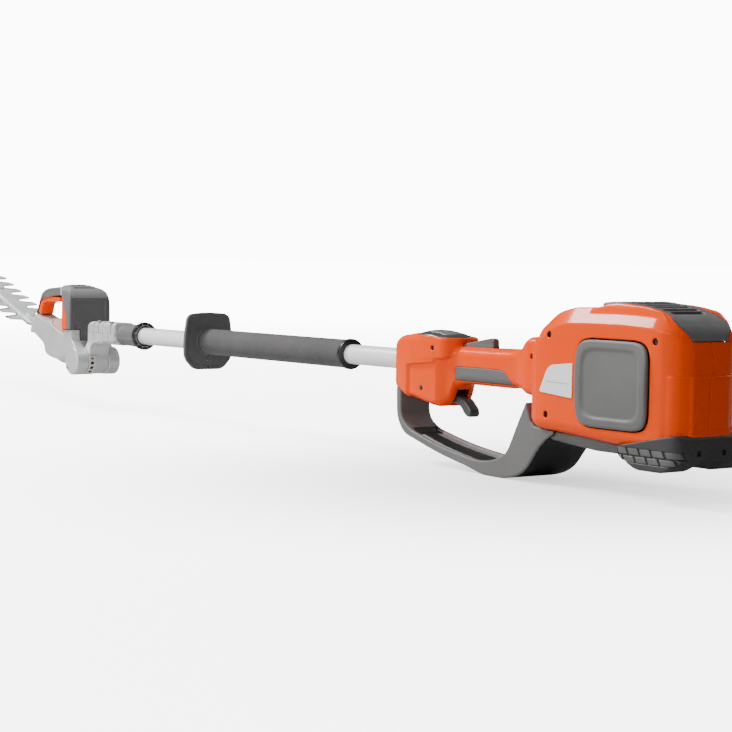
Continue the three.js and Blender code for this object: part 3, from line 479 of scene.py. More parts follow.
MARK = moulded_plastic("mark_grey", (0.12, 0.12, 0.13), 0.45, 1500, 0.00002)


# ---------------- handle housing
HANDLE_STATIONS = [
    # x, half width, lowest z, highest z, corner radius
    (-28, 16, -24, 17, 10), (-30.5, 18.5, -31, 22, 10), (-35, 21.5, -35, 26, 9), (-43, 23.5, -38, 29.5, 9),
    (-57, 26, -42, 31.5, 8), (-74, 28, -45, 32, 8), (-112, 28, -51, 31, 8), (-120, 25, -50, 29, 8),
    (-132, 19, -43, 24, 9),
    (-142, 17, -25.5, 21, 11), (-160, 17, -22.5, 21, 12), (-232, 17, -22.5, 22, 12),
    (-250, 17.5, -21.5, 23, 11),
    (-262, 20, -24, 29, 10), (-270, 22.5, -26, 35, 9), (-278, 23.5, -27, 38, 9), (-290, 23.5, -29, 38.5, 9),
]
HANDLE_CURVES = station_curves(HANDLE_STATIONS)
KEYPAD_PLAN = [(-58, 0, 3), (-62, 18, 8), (-86, 25.5, 12), (-131, 25, 7), (-139, 12, 6), (-140, 0, 2)]
KEYPAD_SIDE = [(-57, 15), (-57, 31, 4), (-91, 39.5, 30), (-131, 34, 14), (-142, 29, 4), (-142, 15)]
BUTTONS = [("power_button", -80, 7.0, 39.2), ("boost_button", -108, 6.0, 37.8)]  # name, x, radius, top
INLAY = rounded([(-142.5, -2, 5), (-229, -2, 8), (-246, -18, 1.5), (-142.5, -18, 1.5)])
TRIGGER = rounded([(-119, -29, 4), (-118, -43, 4), (-129, -47, 6), (-140, -49, 8), (-150, -60.5, 7),
                   (-160.5, -61, 7), (-160.5, -52, 7), (-146, -39, 12), (-134, -38, 8), (-129, -29, 4)], 6)
LOCKOUT = rounded([(-143, 12, 3), (-142, 22, 3), (-146, 24.5, 3), (-190, 32.5, 4), (-195.5, 31.5, 2),
                   (-196.5, 20, 2), (-160, 17, 6), (-154, 12, 3)])
TRIGGER_PIN, LOCKOUT_PIN = (-124, -33), (-150, 15)


def handle_skin(x, y, z, grow=0.0):
    half, low, high, r = (column(x) for column in HANDLE_CURVES)
    around = bar_section(y, z, half + grow, low - grow, high + grow, r + grow)
    return smax(smax(around, x + 28 - grow, 3), -290 - grow - x, 1)


KEYPAD_OUTLINE = rounded(across_both(KEYPAD_PLAN), 6)
KEYPAD_DOME = rounded(KEYPAD_SIDE, 8)


def keypad_dome(x, y, z, grow=0.0):
    plan = inside(KEYPAD_OUTLINE, x, y) - grow
    crown = inside(KEYPAD_DOME, x, z + 0.0075 * y * y) - grow
    return smax(plan, crown, 3)


def side_panel(x, z):
    """1 in the sunken panel on the trigger housing's side, 0 outside, with a wide slope at its front."""
    top = -3 - 0.1 * (x + 62)
    return ramp(-60 - x, 7) * ramp(x + 117, 2) * ramp(top - z, 2.2)


def screw_pits(d, x, y, z, screws, r, floor, k):
    """The field d with a round pit on both sides for each screw, down to floor from the middle plane."""
    for place in screws:
        d = smax(d, -np.maximum(about(x, z, place) - r, floor - np.abs(y)), k)
    return d


FLANGE = [(-268, -40), (-272, -8), (-277, 0), (-277, 8), (-268, 12), (-260, 40)]
HANDLE_SCREWS = [(-88, -30.5, 23.5), (-113, 18, 24.5), (-283.5, 16.8, 20.5)]  # as (x, z, distance across)


def handle_shell(x, y, z):
    d = handle_skin(x, y, z)
    out = np.abs(y)
    sunk = 3.4 * side_panel(x, z)
    d = d + sunk * ramp(out - 14, 5)
    d = smin(d, smax(keypad_dome(x, y, z + 1.2, 2.8), z - 32.5 - 0.04 * (x + 90), 1.5), 3)
    d = np.maximum(d, np.minimum(0.9 - line_distance(FLANGE, x, z), -d - 1.8) * 0.8)
    d = cut(d, keypad_dome(x, y, z, GAP))
    inlay = np.maximum(inside(INLAY, x, z) - GAP, 4 - out)
    d = cut(d, inlay)
    hollow = np.maximum(handle_skin(x, y, z, -WALL - sunk), -x - 287)
    d = cut(d, hollow)
    d = cut(d, smax(block(x, y, z, -138, -113, -9, 9, -60, -18), d - 6, 1))
    d = cut(d, block(x, y, z, -200, -141.5, -5.5, 5.5, 10, 30))
    d = cut(d, block(x, y, z, -300, -270, -14, 14, -18, 26))
    d = cut(d, np.maximum(np.hypot(y, z) - TUBE_R - 0.3, -80 - x))
    return screw_pits(d, x, y, z, HANDLE_SCREWS, 2.9, 14, 0.6)


def split(field, side, seam=lambda z: 0.0, gap=0.2):
    """One half of a shell, cut along a seam that may wander across with height."""
    return lambda x, y, z: np.maximum(field(x, y, z), gap - side * (y - seam(z)))


def screw_head(name, place, side, r):
    """A small sunk screw with a six-pointed socket, its axis along Y. place is (x, y, z)."""
    def field(x, y, z):
        a, b = x - place[0], z - place[2]
        across = np.hypot(a, b)
        star = r * 0.42 + r * 0.1 * np.cos(6 * np.arctan2(b, a))
        d = smax(across - r, np.abs(y - place[1]) - 1.4, 0.5)
        return cut(d, np.maximum(across - star, -(y - place[1]) * side + 0.4))

    low = np.array(place) - (r, 1.5, r)
    moulded(name, field, low, low + (2 * r, 3, 2 * r), 0.3, "chassis", [], SCREW)


def side_screws(name, screws, side, r):
    for k, (x, z, out) in enumerate(screws):
        screw_head(f"{name}_{k}", (x, out * side, z), side, r)


# Painted shade: faces in the flange groove and on the inside of the shell, away from the side panel and
# keypad, painted black.
def housing_painted_shade(x, y, z, normals):
    depth = handle_skin(x, y, z)
    groove = (depth < -0.7) & (line_distance(FLANGE, x, z) < 1.2)
    return groove | ((depth < -1.8) & (side_panel(x, z) < 0.01) & (keypad_dome(x, y, z, 1.5) > 0))


def build_handle():
    for name, side in SIDES:
        right, left = span(side, -0.5, 29)
        half = moulded("housing_" + name, split(handle_shell, side, gap=0.15), (-290, right, -52),
                       (-28, left, 41), 0.9, "chassis", ["handle_" + name], ORANGE)
        # Painted shade: the flange groove and the inside of the half are painted black.
        paint(half, BLACK, housing_painted_shade)

        def inlay(x, y, z, side=side):
            face = cut(handle_skin(x, y, z, 0.1), handle_skin(x, y, z, -2.2))
            return smax(np.maximum(face, 5 - y * side), inside(INLAY, x, z), 0.8)

        right, left = span(side, 4, 18)
        moulded("soft_grip_" + name, inlay, (-247, right, -23), (-141.5, left, 0), 0.7, "chassis",
                ["grip_inlay_" + name], GREY)
        side_screws("housing_screw_" + name, HANDLE_SCREWS, side, 2.5)
    build_keypad()


def button_holes(d, x, y, room):
    """The field d with a hole for each button, wider than the button by room all round."""
    for name, at, r, top in BUTTONS:
        d = np.maximum(d, r + room - np.hypot(x - at, y))
    return d


def build_keypad():
    def cover(x, y, z):
        return button_holes(np.maximum(keypad_dome(x, y, z), 27 - z), x, y, 0.5)

    moulded("keypad_cover", cover, (-145, -26, 26), (-57, 26, 41), 0.7, "chassis", ["keypad"], DARK_GLOSS)
    film_plan = rounded(across_both([(-68, 12, 5), (-90, 16.5, 8), (-124, 16, 5), (-129, 8, 4)]), 5)

    def film(x, y, z):
        d = cut(keypad_dome(x, y, z, 0.45), keypad_dome(x, y, z, -0.5))
        return button_holes(smax(np.maximum(d, 29 - z), inside(film_plan, x, y), 0.4), x, y, 0.8)

    moulded("keypad_film", film, (-131, -18, 28), (-66, 18, 41), 0.6, "chassis", [], KEY_FILM)
    for name, at, r, top in BUTTONS:
        def cap(x, y, z, at=at, r=r):
            across = np.hypot(x - at, y)
            d = smax(across - r, keypad_dome(x, y, z, 0.6) + 0.8 * ramp(r - 1.5 - across, 3), 0.8)
            return np.maximum(d, 31 - z)

        moulded(name + "_cap", cap, (at - r, -r, 31), (at + r, r, top), 0.45, name, [name], GREY)


def build_controls():
    def lever(x, y, z):
        d = smax(inside(TRIGGER, x, z), np.abs(y) - 7.5, 3.5)
        off_pin = about(x, z, TRIGGER_PIN)
        pocket = np.maximum(off_pin - 6, 2.5 - y)
        return np.maximum(cut(d, pocket), 2.1 - off_pin)

    moulded("trigger_lever", lever, (-161, -8, -61), (-117, 8, -28), 0.6, "trigger", ["trigger"], DARK_GLOSS)

    def wedge(x, y, z):
        d = smax(inside(LOCKOUT, x, z), np.abs(y) - 4.8, 1.6)
        ribs = 0.35 * ramp(np.sin((x + 150) * 2.1), 0.6) * ramp(-x - 168, 4) * ramp(z - 22, 4)
        return np.maximum(d + ribs, 1.9 - about(x, z, LOCKOUT_PIN))

    moulded("lockout_wedge", wedge, (-197, -5, 11), (-141, 5, 33), 0.5, "lockout", ["lockout_lever"], GREY)


# ---------------- rear body
BODY_STATIONS = [
    (-294, 25, -32, 37, 9), (-300, 34, -46, 41, 11), (-308, 43, -56, 44, 13), (-322, 49, -58.5, 52, 15),
    (-350, 50, -60.5, 69, 18), (-376, 50, -62, 74, 18), (-440, 50, -66.5, 75, 18), (-494, 50, -68.5, 73, 18),
    (-506, 48.8, -68.5, 71.5, 18), (-516, 44.8, -68, 69, 18), (-524, 38, -67, 64.5, 18),
    (-530, 28, -65, 58.5, 18),
]
BODY_CURVES = station_curves(BODY_STATIONS)
CAP_PROFILE = rounded([(-408, 44), (-408, 80, 3), (-432, 82, 20), (-480, 76.5, 30), (-509, 68, 14),
                       (-525, 56, 14), (-531, 43, 1)], 8)
RIM_PROFILE = rounded([(-398, 55), (-399, 72, 2), (-426, 81, 16), (-476, 78, 30), (-504, 72.5, 8),
                       (-514, 55)], 8)
RIM_ACROSS = rounded(mirrored([(41, 50), (42, 73.5, 6), (38, 82, 4)]), 6)
SEAM = [(-70, 3.2), (-45.6, 3.2), (7.6, 1.1), (9, -1.5), (14.6, -4.7), (26, -5.3), (33.4, -2), (43.5, -0.5),
        (90, 0)]  # of the two halves, as (z, y)
BODY_SCREWS = [(-500, 43, 46.0), (-341, 44, 45.5), (-338, -42, 45.5)]  # as (x, z, distance across)
COVER_CENTRE, COVER_HALF = (-439.5, -4.0), (53.0, 46.0)


def cap_across(grow):
    return rounded(mirrored([(24 + grow, -80), (24 + grow, 40), (26 + grow, 48, 6), (35.5 + grow, 58, 8),
                             (38 + grow, 68, 4), (33 + grow, 92)]), 6)


CAP_OPENING, CAP_SHAPE = cap_across(0.45), cap_across(0.0)


def body_skin(x, y, z, grow=0.0):
    half, low, high, r = (column(x) for column in BODY_CURVES)
    d = bar_section(y, z, half + grow, low - grow, high + grow, r * 0.8 + grow)
    facet = 0.85 * (np.abs(y) - half) + 0.52 * (z - high + 17.5) - grow
    d = smax(d, facet, 0.6)
    return smax(smax(d, -530 - x - grow, 7), x + 294 - grow, 2)


def squircle(x, z, inset=0.0, power=6.0):
    a = np.abs(x - COVER_CENTRE[0]) / (COVER_HALF[0] - inset)
    b = np.abs(z - COVER_CENTRE[1]) / (COVER_HALF[1] - inset)
    return ((a ** power + b ** power) ** (1 / power) - 1) * (COVER_HALF[1] - inset)


def body_shell(x, y, z):
    d = body_skin(x, y, z)
    out = np.abs(y)
    d = smin(d, smax(inside(RIM_PROFILE, x, z), inside(RIM_ACROSS, y, z), 1.5), 2.5)
    d = d - 1.8 * ramp(9.5 - z, 1.2) * ramp(-x - 512, 10)
    d = d - 0.7 * ramp(-44 - z, 1.0) * ramp(-x - 520, 4) * ramp(43 - out, 1.5)
    d = d + 2.2 * (1 - ramp(squircle(x, z) - 0.8, 0.6)) * ramp(out - 44, 2)
    d = cut(d, meet(inside(CAP_OPENING, y, z), 43.6 - z, x + 407.6))
    hollow = np.maximum(body_skin(x, y, z, -WALL), -527.4 - x)
    d = cut(d, hollow, block(x, y, z, -515, -411, -33, 33, 30, 100))
    d = cut(d, block(x, y, z, -300, -285, -14, 14, -18, 26), block(x, y, z, -420, -400, -12, 12, -70, -50))
    return screw_pits(d, x, y, z, BODY_SCREWS, 3.6, 30, 0.8)


def seam_at(z):
    heights, across = zip(*SEAM)
    return np.interp(z, heights, across)


def body_painted_shade(x, y, z, normals):
    """Painted shade: the inside of the shell and the gap round the side cover, painted black."""
    gap = (squircle(x, z) < 0.9) & (np.abs(y) > 45) & (np.abs(y) < 49.6)
    return gap | ((body_skin(x, y, z) < -2.2) & (z < 44))


def build_body():
    for name, side in SIDES:
        right, left = span(side, -7, 51)
        half = moulded("body_shell_" + name, split(body_shell, side, seam_at), (-534, right, -67),
                       (-293, left, 83), 1.1, "chassis", ["body_" + name], ORANGE)
        # Painted shade: the inside of the half and the gap round the side cover are painted black.
        paint(half, BLACK, body_painted_shade)

        def pad(x, y, z, side=side):
            edge = squircle(x, z)
            face = y * side - 55.4 + 0.0012 * (z - COVER_CENTRE[1]) ** 2
            d = smax(edge, face, 3.6)
            d = d + 2.3 * ramp(-squircle(x, z, 7) - 0.5, 5.5)
            return np.maximum(d, 50.2 - y * side)

        right, left = span(side, 50, 55.6)
        moulded("side_pad_" + name, pad, (-494, right, -51), (-386, left, 43), 0.8, "chassis",
                ["side_cover_" + name], GREY)
        side_screws("body_screw_" + name, BODY_SCREWS, side, 3.0)
    build_plate()


def build_plate():
    outline = rounded([(-328, -18, 4), (-380, -22, 2), (-380, 15, 2), (-342, 11, 9)], 6)

    def plate(x, y, z):
        return smax(inside(outline, x, z), np.abs(y - 50.6) - 0.4, 0.3)

    moulded("blank_plate", plate, (-381, 50, -23), (-327, 51.1, 16), 0.45, "chassis", ["name_plate"], LABEL)

    def rule(x, y, z):
        line = np.abs(z + 6.6 - 0.03 * (x + 350)) - 0.3
        return meet(line, slab(x, -376, -339), np.abs(y - 50.95) - 0.15)

    moulded("plate_rule", rule, (-377, 50.8, -8.6), (-338, 51.15, -5), 0.2, "chassis", [], MARK)


def build_battery():
    fins, pitch = 7, 12

    def pack(x, y, z):
        cap = smax(smax(inside(CAP_PROFILE, x, z), inside(CAP_SHAPE, y, z), 2.2), 44 - z, 1)
        corner = smax(slab(x, -514, -412), np.abs(y) - 32, 6)
        core = smax(smax(corner, -40 - z, 2), z - 60, 2)
        d = np.minimum(cap, core)
        for k in range(fins):
            front = -411 - pitch * k
            floor = 76 - max(0, k - 3) * 2.4
            slot = smax(smax(slab(x, front - 5.5, front), np.abs(y) - 25, 2), floor - z, 1)
            d = smax(d, -slot, 0.8)
        wide = smax(smax(slab(x, -500, -492), np.abs(y) - 23, 2), 62 - z, 1)
        d = smax(d, -wide, 0.8)
        for side in (1, -1):
            d = cut(d, block(x, y * side, z, -480, -446, 30, 42, 62, 75.5))
        return d

    moulded("battery_pack", pack, (-532, -39, -41), (-407, 39, 83), 0.95, "battery", ["battery"], DARK)

    def latch(side):
        def field(x, y, z):
            face = block(x, y * side, z, -479, -447, 33.6, 37.2, 62.6, 67.4)
            stem = block(x, y * side, z, -474, -452, 33.6, 35.4, 66, 71)
            ribs = 0.4 * ramp(np.sin(x * 2.1), 0.5)
            return smin(smax(face, y * side - 37.2 + ribs, 0.4), stem, 0.6)
        return field

    for name, side in SIDES:
        right, left = span(side, 33.4, 37.3)
        moulded("latch_key_" + name, latch(side), (-480, right, 62), (-446, left, 72), 0.4,
                "latch_" + name, ["battery_latch_" + name], GREY)


# ---------------- guard, skid plate and foot
GUARD_OUTER = [(-36, -30), (-37.5, -69, 18), (-52, -87, 24), (-126, -105, 40), (-184, -114.5, 40),
               (-212, -121, 10), (-258, -121, 16), (-290, -111, 16), (-318, -76, 14), (-338, -64)]
GUARD_INNER = [(-338, -60.5), (-306, -58), (-299, -53), (-290, -33), (-271, -66, 14), (-255, -96, 20),
               (-210, -107, 30), (-126, -96, 40), (-64, -81, 16), (-47, -68, 14), (-46, -30)]
GUARD_BAND = rounded(GUARD_OUTER + GUARD_INNER, 8)
GUARD_CHANNEL = rounded([(-60, -70, 8), (-66, -84.5, 10), (-126, -99, 30), (-208, -110.5, 20),
                         (-246, -108, 10), (-246, -85), (-60, -60)], 6)
GUARD_HALF, CHANNEL_HALF = (22, 38), (17, 31)  # half widths at the front and the rear
SKID = rounded([(-322, -61.1), (-330, -70.6, 3), (-400, -76.6, 6), (-446, -76.6, 3), (-446, -68.1),
                (-384, -61.8)])
FOOT_SIDE = rounded([(-441, -67), (-442, -72, 3), (-478, -88, 6), (-518, -88, 8), (-534, -77, 5),
                     (-535, -54, 4), (-531, -50, 2), (-524, -50)], 6)
FOOT_PLAN = rounded(across_both([(-441, 44, 8), (-454, 52, 10), (-536, 52, 34), (-536, 10, 2)]), 10)
NOTCH = rounded([(24, -95), (15, -76, 4), (-15, -76, 4), (-24, -95)], 6)


def half_width(x, ends):
    """Half the width of the guard or of its channel, which widen evenly towards the rear."""
    front, rear = ends
    return front + (rear - front) * np.clip((-37 - x) / 270, 0, 1)


def build_guard():
    def band(x, y, z):
        out = np.abs(y)
        d = smax(inside(GUARD_BAND, x, z), out - half_width(x, GUARD_HALF), 2.5)
        hollow = smax(inside(GUARD_CHANNEL, x, z), out - half_width(x, CHANNEL_HALF), 3)
        d = smax(d, -hollow, 1.5)
        d = cut(d, handle_skin(x, y, z, GAP), body_skin(x, y, z, GAP))
        return cut(d, block(x, y, z, -346, -321.5, -36, 36, -90, -50))

    guard = moulded("hand_guard", band, (-339, -39, -121), (-35, 39, -29), 1.0, "chassis", ["loop_guard"],
                    GREY)
    # Painted shade: the rear-facing faces low on the rear leg are painted black.
    paint(guard, BLACK, guard_rear_painted_shade)
    # Painted shade: the channel's floor and ends, all but its side walls, are painted black.
    paint(guard, BLACK, lambda x, y, z, normals: in_channel(x, y, z) & (np.abs(normals[:, 1]) < 0.6))
    # Painted highlight: the channel's surfaces near its sides are painted light grey.
    paint(guard, LIGHT_GREY, channel_edge_painted_highlight)


# Painted shade: rear-facing faces low on the guard's rear leg.
def guard_rear_painted_shade(x, y, z, normals):
    rear_face = (normals[:, 0] < -0.3) & (x < -240) & (z < -67)
    return rear_face & (np.abs(y) < half_width(x, GUARD_HALF) - 2)


# Painted highlight: the channel's surfaces within 10 mm of its sides, behind x = -78.
def channel_edge_painted_highlight(x, y, z, normals):
    edge = np.abs(y) > half_width(x, CHANNEL_HALF) - 10
    return in_channel(x, y, z) & edge & (x < -78)


def in_channel(x, y, z):
    return (inside(GUARD_CHANNEL, x, z) < 0.8) & (np.abs(y) < half_width(x, CHANNEL_HALF) + 0.8)


def build_underside():
    def plate(x, y, z):
        d = smax(inside(SKID, x, z), np.abs(y) - 34, 2)
        grooves = 0.8 * ramp(np.cos(y * math.pi / 8.5) - 0.75, 0.2) * ramp(-70 - z, 1)
        return cut(d + grooves, body_skin(x, y, z, GAP))

    moulded("skid_plate", plate, (-447, -35, -77.5), (-321, 35, -61), 0.9, "chassis", ["bottom_plate"],
            GREY_DARKER)

    def foot(x, y, z):
        d = smax(inside(FOOT_SIDE, x, z), inside(FOOT_PLAN, x, y), 2.2)
        d = d + 1.8 * tread_gaps(along_foot(x, y), z) * ramp(inside(FOOT_PLAN, x, y) + 4, 2)
        pit = meet(np.abs(np.abs(y) - 18) - 3, np.abs(z + 68) - 2.6, x + 531)
        d = cut(d, pit, body_skin(x, y, z, GAP))
        return smax(d, -np.maximum(inside(NOTCH, y, z), x + 470), 1.5)

    block_foot = moulded("foot_block", foot, (-536, -53, -89), (-440, 53, -49), 0.75, "chassis",
                         ["rear_foot"], FOOT_GREY)
    paint(block_foot, GREY_DARKER, on_treads)


def along_foot(x, y):
    """Distance rearwards along the foot's side, going on round its corner as if unrolled."""
    behind, out = np.maximum(-500 - x, 0), np.abs(y) - 20
    return np.where(x > -500, x, -500 - 32 * np.arctan2(behind, np.maximum(out, 0.01)))


def tread_band(x, z):
    return ramp(x + 539, 1.5) * ramp(-449 - x, 1.5) * ramp(z + 81.5, 1) * ramp(-65.5 - z, 1)


def tread_gaps(x, z):
    """1 between the tread blocks of the foot's side, 0 on them and outside their band."""
    row = (z + 81.3) / 7.8
    slant = x - 0.5 * (z + 75) - np.floor(row) * 7
    cell = np.abs((slant / 17) % 1 - 0.5)
    gap = ramp(cell - 0.4, 0.05) + ramp(np.abs(row % 1 - 0.5) - 0.38, 0.06)
    return np.clip(gap, 0, 1) * tread_band(x, z)


def on_treads(x, y, z, normals):
    along = along_foot(x, y)
    outer = inside(FOOT_PLAN, x, y) > -1.0
    return outer & (tread_band(along, z) > 0.9) & (tread_gaps(along, z) < 0.2)


# ---------------- tube and what it carries
def build_tube():
    turned("painted_tube", ring_profile(-66, 752, 11, TUBE_R, 0.5), "chassis", ["tube"], TUBE_PAINT,
           128)
    sleeve = rounded([(92, RING_BORE), (429, RING_BORE), (429, 17, 1.2), (427, 18, 1.2), (94, 18, 1.2),
                      (92, 17, 1.2)], 4)
    turned("grip_sleeve", sleeve, "chassis", ["foam_sleeve"], FOAM, 128)
    turned("sleeve_ring", ring_profile(86, 91.7, RING_BORE, 19.4, 1.2), "chassis", ["sleeve_end_ring"], BLACK)
    turned("tube_collar", ring_profile(609, 614, RING_BORE, 20.5, 0.8), "chassis", ["collar_ring"], BLACK)
    build_collar_lines()
    stop = rounded(mirrored([(23, -39, 8), (39, -23, 10), (39, 8, 20), (34, 38.5, 9), (12, 41, 16)]), 8)
    cut_line = [(0, -12), (0, -22), (3, -25), (0, -29), (0, -41)]

    def hand_stop(x, y, z):
        d = smax(inside(stop, y, z), np.abs(x - 432.6) - 2.8, 1.6)
        d = d + 0.9 * ramp(-inside(stop, y, z) - 4, 1.2) * ramp(-9 + np.hypot(y, z) - 9, 2)
        slit = np.maximum(line_distance(cut_line, y, z) - 0.7, z + 12)
        return cut(np.maximum(d, CLAMP_BORE - np.hypot(y, z)), slit)

    moulded("stop_plate", hand_stop, (429, -40, -40), (436, 40, 42), 0.65, "chassis", ["hand_stop"], DARK)

    def adapter(x, y, z):
        radius = np.interp(x, (614, 626, 640, 671), (17.5, 17.5, 16.8, 16))
        d = np.hypot(y, z) - radius + 0.9 * ramp(z + 5, 1.2)
        d = smax(smax(d, x - 670.6, 1), 614.3 - x, 1)
        d = d + 0.6 * ramp(1.2 - np.abs(x - 662), 0.8)
        return np.maximum(d, RING_BORE - np.hypot(y, z))

    moulded("adapter_neck", adapter, (614, -18, -18), (671, 18, 18), 0.6, "chassis", ["tube_adapter"], GREY)


def build_collar_lines():
    def marks(x, y, z):
        r = np.hypot(y, z)
        ring = np.abs(r - 15.6) - 0.28
        spoke_angle = (np.arctan2(z, y) / (math.pi / 6)) % 1
        spoke = np.abs(spoke_angle - 0.5) * (math.pi / 6) * r - 0.22
        lines = np.minimum(ring, np.maximum(spoke, 15.6 - r))
        return meet(lines, r - 19.8, np.abs(x - 608.95) - 0.2)

    moulded("collar_lines", marks, (608.7, -20, -20), (609.2, 20, 20), 0.22, "chassis", [], LIGHT_GREY)


# ---------------- clamp and pivot
CLAMP_SIDE = rounded([(671, -17.5, 3), (671, 17.5, 3), (750, 17.5, 14), (757, 8, 6), (757, -17.5, 4)], 6)
WEB = rounded([(736, -14), (757, -14), (766, -24, 6), (780, -36, 4), (780, -50), (760, -55), (752.3, -44, 4),
               (748, -20, 4)], 6)
RIBS = [(682, 9), (700, 6.5), (723, 11), (748, 7)]  # of the clamp, as (middle, half width)
CLAMP_BOLTS = {"rear": 684, "front": 722}
BOLT_OUT = 15.2  # from the tube's middle plane to a clamp bolt's axis
TUBE_STOP = 752.3  # where the bore of the clamp ends
BARREL_R, HINGE_BORE = 20.2, 6.3
STRAP_MIDDLE, STRAP_R = 10.2, 20.35
HOLE_STEP = 22  # degrees from hole to hole of the strap


def tube_bore(x, y, z):
    return np.maximum(np.hypot(y, z) - CLAMP_BORE, x - TUBE_STOP)


def clamp_block(x, y, z):
    ribs = np.minimum.reduce([np.abs(x - at) - half for at, half in RIBS])
    half = 17.4 - 2.2 * ramp(ribs, 1.8)
    d = bar_section(y, z, half, -half, half, 7.5)
    d = smax(d, inside(CLAMP_SIDE, x, z), 1.5)
    d = cut(d, tube_bore(x, y, z))
    for at in CLAMP_BOLTS.values():
        for side in (1, -1):
            bore = np.hypot(x - at, y - BOLT_OUT * side)
            d = cut(d, np.maximum(bore - 1.8, -14 - z))
            d = smax(d, -np.maximum(bore - 3.6, 15.6 - z), 0.5)
    return d


def build_clamp():
    moulded("clamp_half_upper", lambda x, y, z: np.maximum(clamp_block(x, y, z), 0.25 - z),
            (670, -18, 0), (758, 18, 18), 0.6, "chassis", ["clamp_upper"], CAST)

    def lower(x, y, z):
        d = np.maximum(clamp_block(x, y, z), z + 0.25)
        r = about(x, z, PIVOT)
        web = smin(inside(WEB, x, z), r - BARREL_R, 5)
        tongue = smax(web, np.abs(y) - 16.8, 1.2)
        d = smin(d, tongue, 4)
        bed = meet(np.abs(y - STRAP_MIDDLE) - 6.6, 19.5 - r, strap_end(x, z, 0.4))
        d = cut(d, bed, tube_bore(x, y, z))
        return np.maximum(d, HINGE_BORE - r)

    moulded("clamp_half_lower", lower, (670, -18, -66), (792, 18, 0), 0.65, "chassis", ["clamp_lower"],
            CAST)
    for name, at in CLAMP_BOLTS.items():
        def bolt(x, y, z, at=at):
            across = np.hypot(x - at, y - BOLT_OUT)
            head = smax(across - 3, np.abs(z - 17.4) - 1.8, 0.5)
            head = cut(head, np.maximum(across - 1.5, 18.2 - z))
            return np.minimum(head, np.maximum(across - 1.5, np.abs(z - 3) - 15))

        moulded("clamp_bolt_" + name, bolt, (at - 3.2, 12, -12.2), (at + 3.2, 18.4, 19.4), 0.3, "chassis",
                ["clamp_screw_" + name], TURNED)
    build_strap()


FOLDED_PIN = 186.4  # where round the barrel the lock pin stands with the head folded back


def round_barrel(x, z):
    """Degrees round the barrel, from straight ahead over its top."""
    return np.degrees(np.arctan2(z - PIVOT[1], x - PIVOT[0])) % 360


def strap_end(x, z, grow):
    """Negative from behind the barrel's top, under it, to the front: the part the strap wraps."""
    return (np.abs(round_barrel(x, z) - 250) - 97) * 0.33 - grow


def build_strap():
    def strap(x, y, z):
        d = smax(np.abs(about(x, z, PIVOT) - STRAP_R) - 0.65, np.abs(y - STRAP_MIDDLE) - 6.3, 0.4)
        d = np.maximum(d, strap_end(x, z, 0))
        for k in range(8):
            along = (round_barrel(x, z) - FOLDED_PIN - HOLE_STEP * (k - 1)) * math.pi / 180 * 20.4
            hole = np.hypot(np.maximum(np.abs(y - 11.5) - 0.7, 0), along) - 2.5
            d = cut(d, hole)
        return d

    x0, z0 = PIVOT
    moulded("lock_strap", strap, (x0 - 22, 3, z0 - 22), (x0 + 22, 17, z0 + 12), 0.4, "chassis",
            ["index_strap"], STRAP)

    # Painted shade: a thin black sheet under the strap, behind its holes, so the holes look dark.
    def bed(x, y, z):
        ring = np.abs(about(x, z, PIVOT) - 19.55) - 0.15
        return meet(ring, np.abs(y - 11.5) - 3.5, strap_end(x, z, -4))

    moulded("strap_bed", bed, (x0 - 20, 7, z0 - 20), (x0 + 20, 16, z0 + 11), 0.3, "chassis", [], BLACK)


# ---------------- gear case (head frame u, v, w)
SEAM_W = 24.7  # the top of the gear case
NOSE_SIDE = rounded([(90, -23), (172, -23, 3), (184, -20, 4), (187, -8, 3), (187, 4, 3), (178, 8.5, 3),
                     (142, 10, 10), (114, 21.5, 4), (90, 21.5)], 6)
NOSE_PLAN = rounded(across_both([(90, 28), (118, 24, 6), (134, 19, 6), (184, 15, 4)]), 6)
EAR_PROFILE = [(781, 2), (806, 2), (816, -38, 6), (806, -41, 4), (790, -40), (771, -45), (757, -32),
               (781, -12, 3)]


def in_head(x, z):
    """The cutter head's u and w of a place in the tool's side view."""
    dx, dz = x - PIVOT[0], z - PIVOT[1]
    return dx * math.cos(TILT) + dz * math.sin(TILT), dz * math.cos(TILT) - dx * math.sin(TILT)


EAR = rounded([(*in_head(c[0], c[1]), *c[2:]) for c in EAR_PROFILE], 5)


def bowl(u, v, w, inset, low, k):
    """The round body of the gear case, or its hollow where it is inset."""
    a = np.abs((u - 70) / (48 - inset))
    b = np.abs(v / (34 - inset))
    plan = ((a ** 2.5 + b ** 2.5) ** 0.4 - 1) * (34 - inset)
    return smax(plan, low - w, k)


def bowl_floor(u):
    return -24 + 10 * ramp(49 - u, 14)


def case_outside(u, v, w):
    out = np.abs(v)
    d = smax(bowl(u, v, w, 0, bowl_floor(u), 14), w - SEAM_W, 1)
    sump = smax(smax(np.hypot(u - 96, v * 0.96) - 28.5, -30 - w, 8), w + 5, 2)
    sump = smax(sump, 0.5 * (96 - u) + 0.87 * v - 28, 1.5)
    d = smin(d, sump, 2.5)
    nose = smax(smax(inside(NOSE_SIDE, u, w), inside(NOSE_PLAN, u, v), 2.5), w - SEAM_W + 1, 1)
    d = smin(d, nose, 4)
    for side in (1, -1):
        post = smax(np.hypot(u - 183, v - 12 * side) - 4.5, np.abs(w + 13) - 12, 0.8)
        d = smin(d, post, 1.5)
    lug = smax(np.hypot(u, w) - 21, np.abs(out - 27.2) - 9.8, 2.2)
    ear = smax(inside(EAR, u, w), np.abs(out - 25.0) - 7.6, 1.5)
    cap_line = 0.7 * ramp(1.0 - np.abs(np.hypot(u, w) - 16.5), 0.8) * ramp(out - 35.5, 0.8)
    return smin(d, smin(lug, ear, 1.5) + cap_line, 1.5)


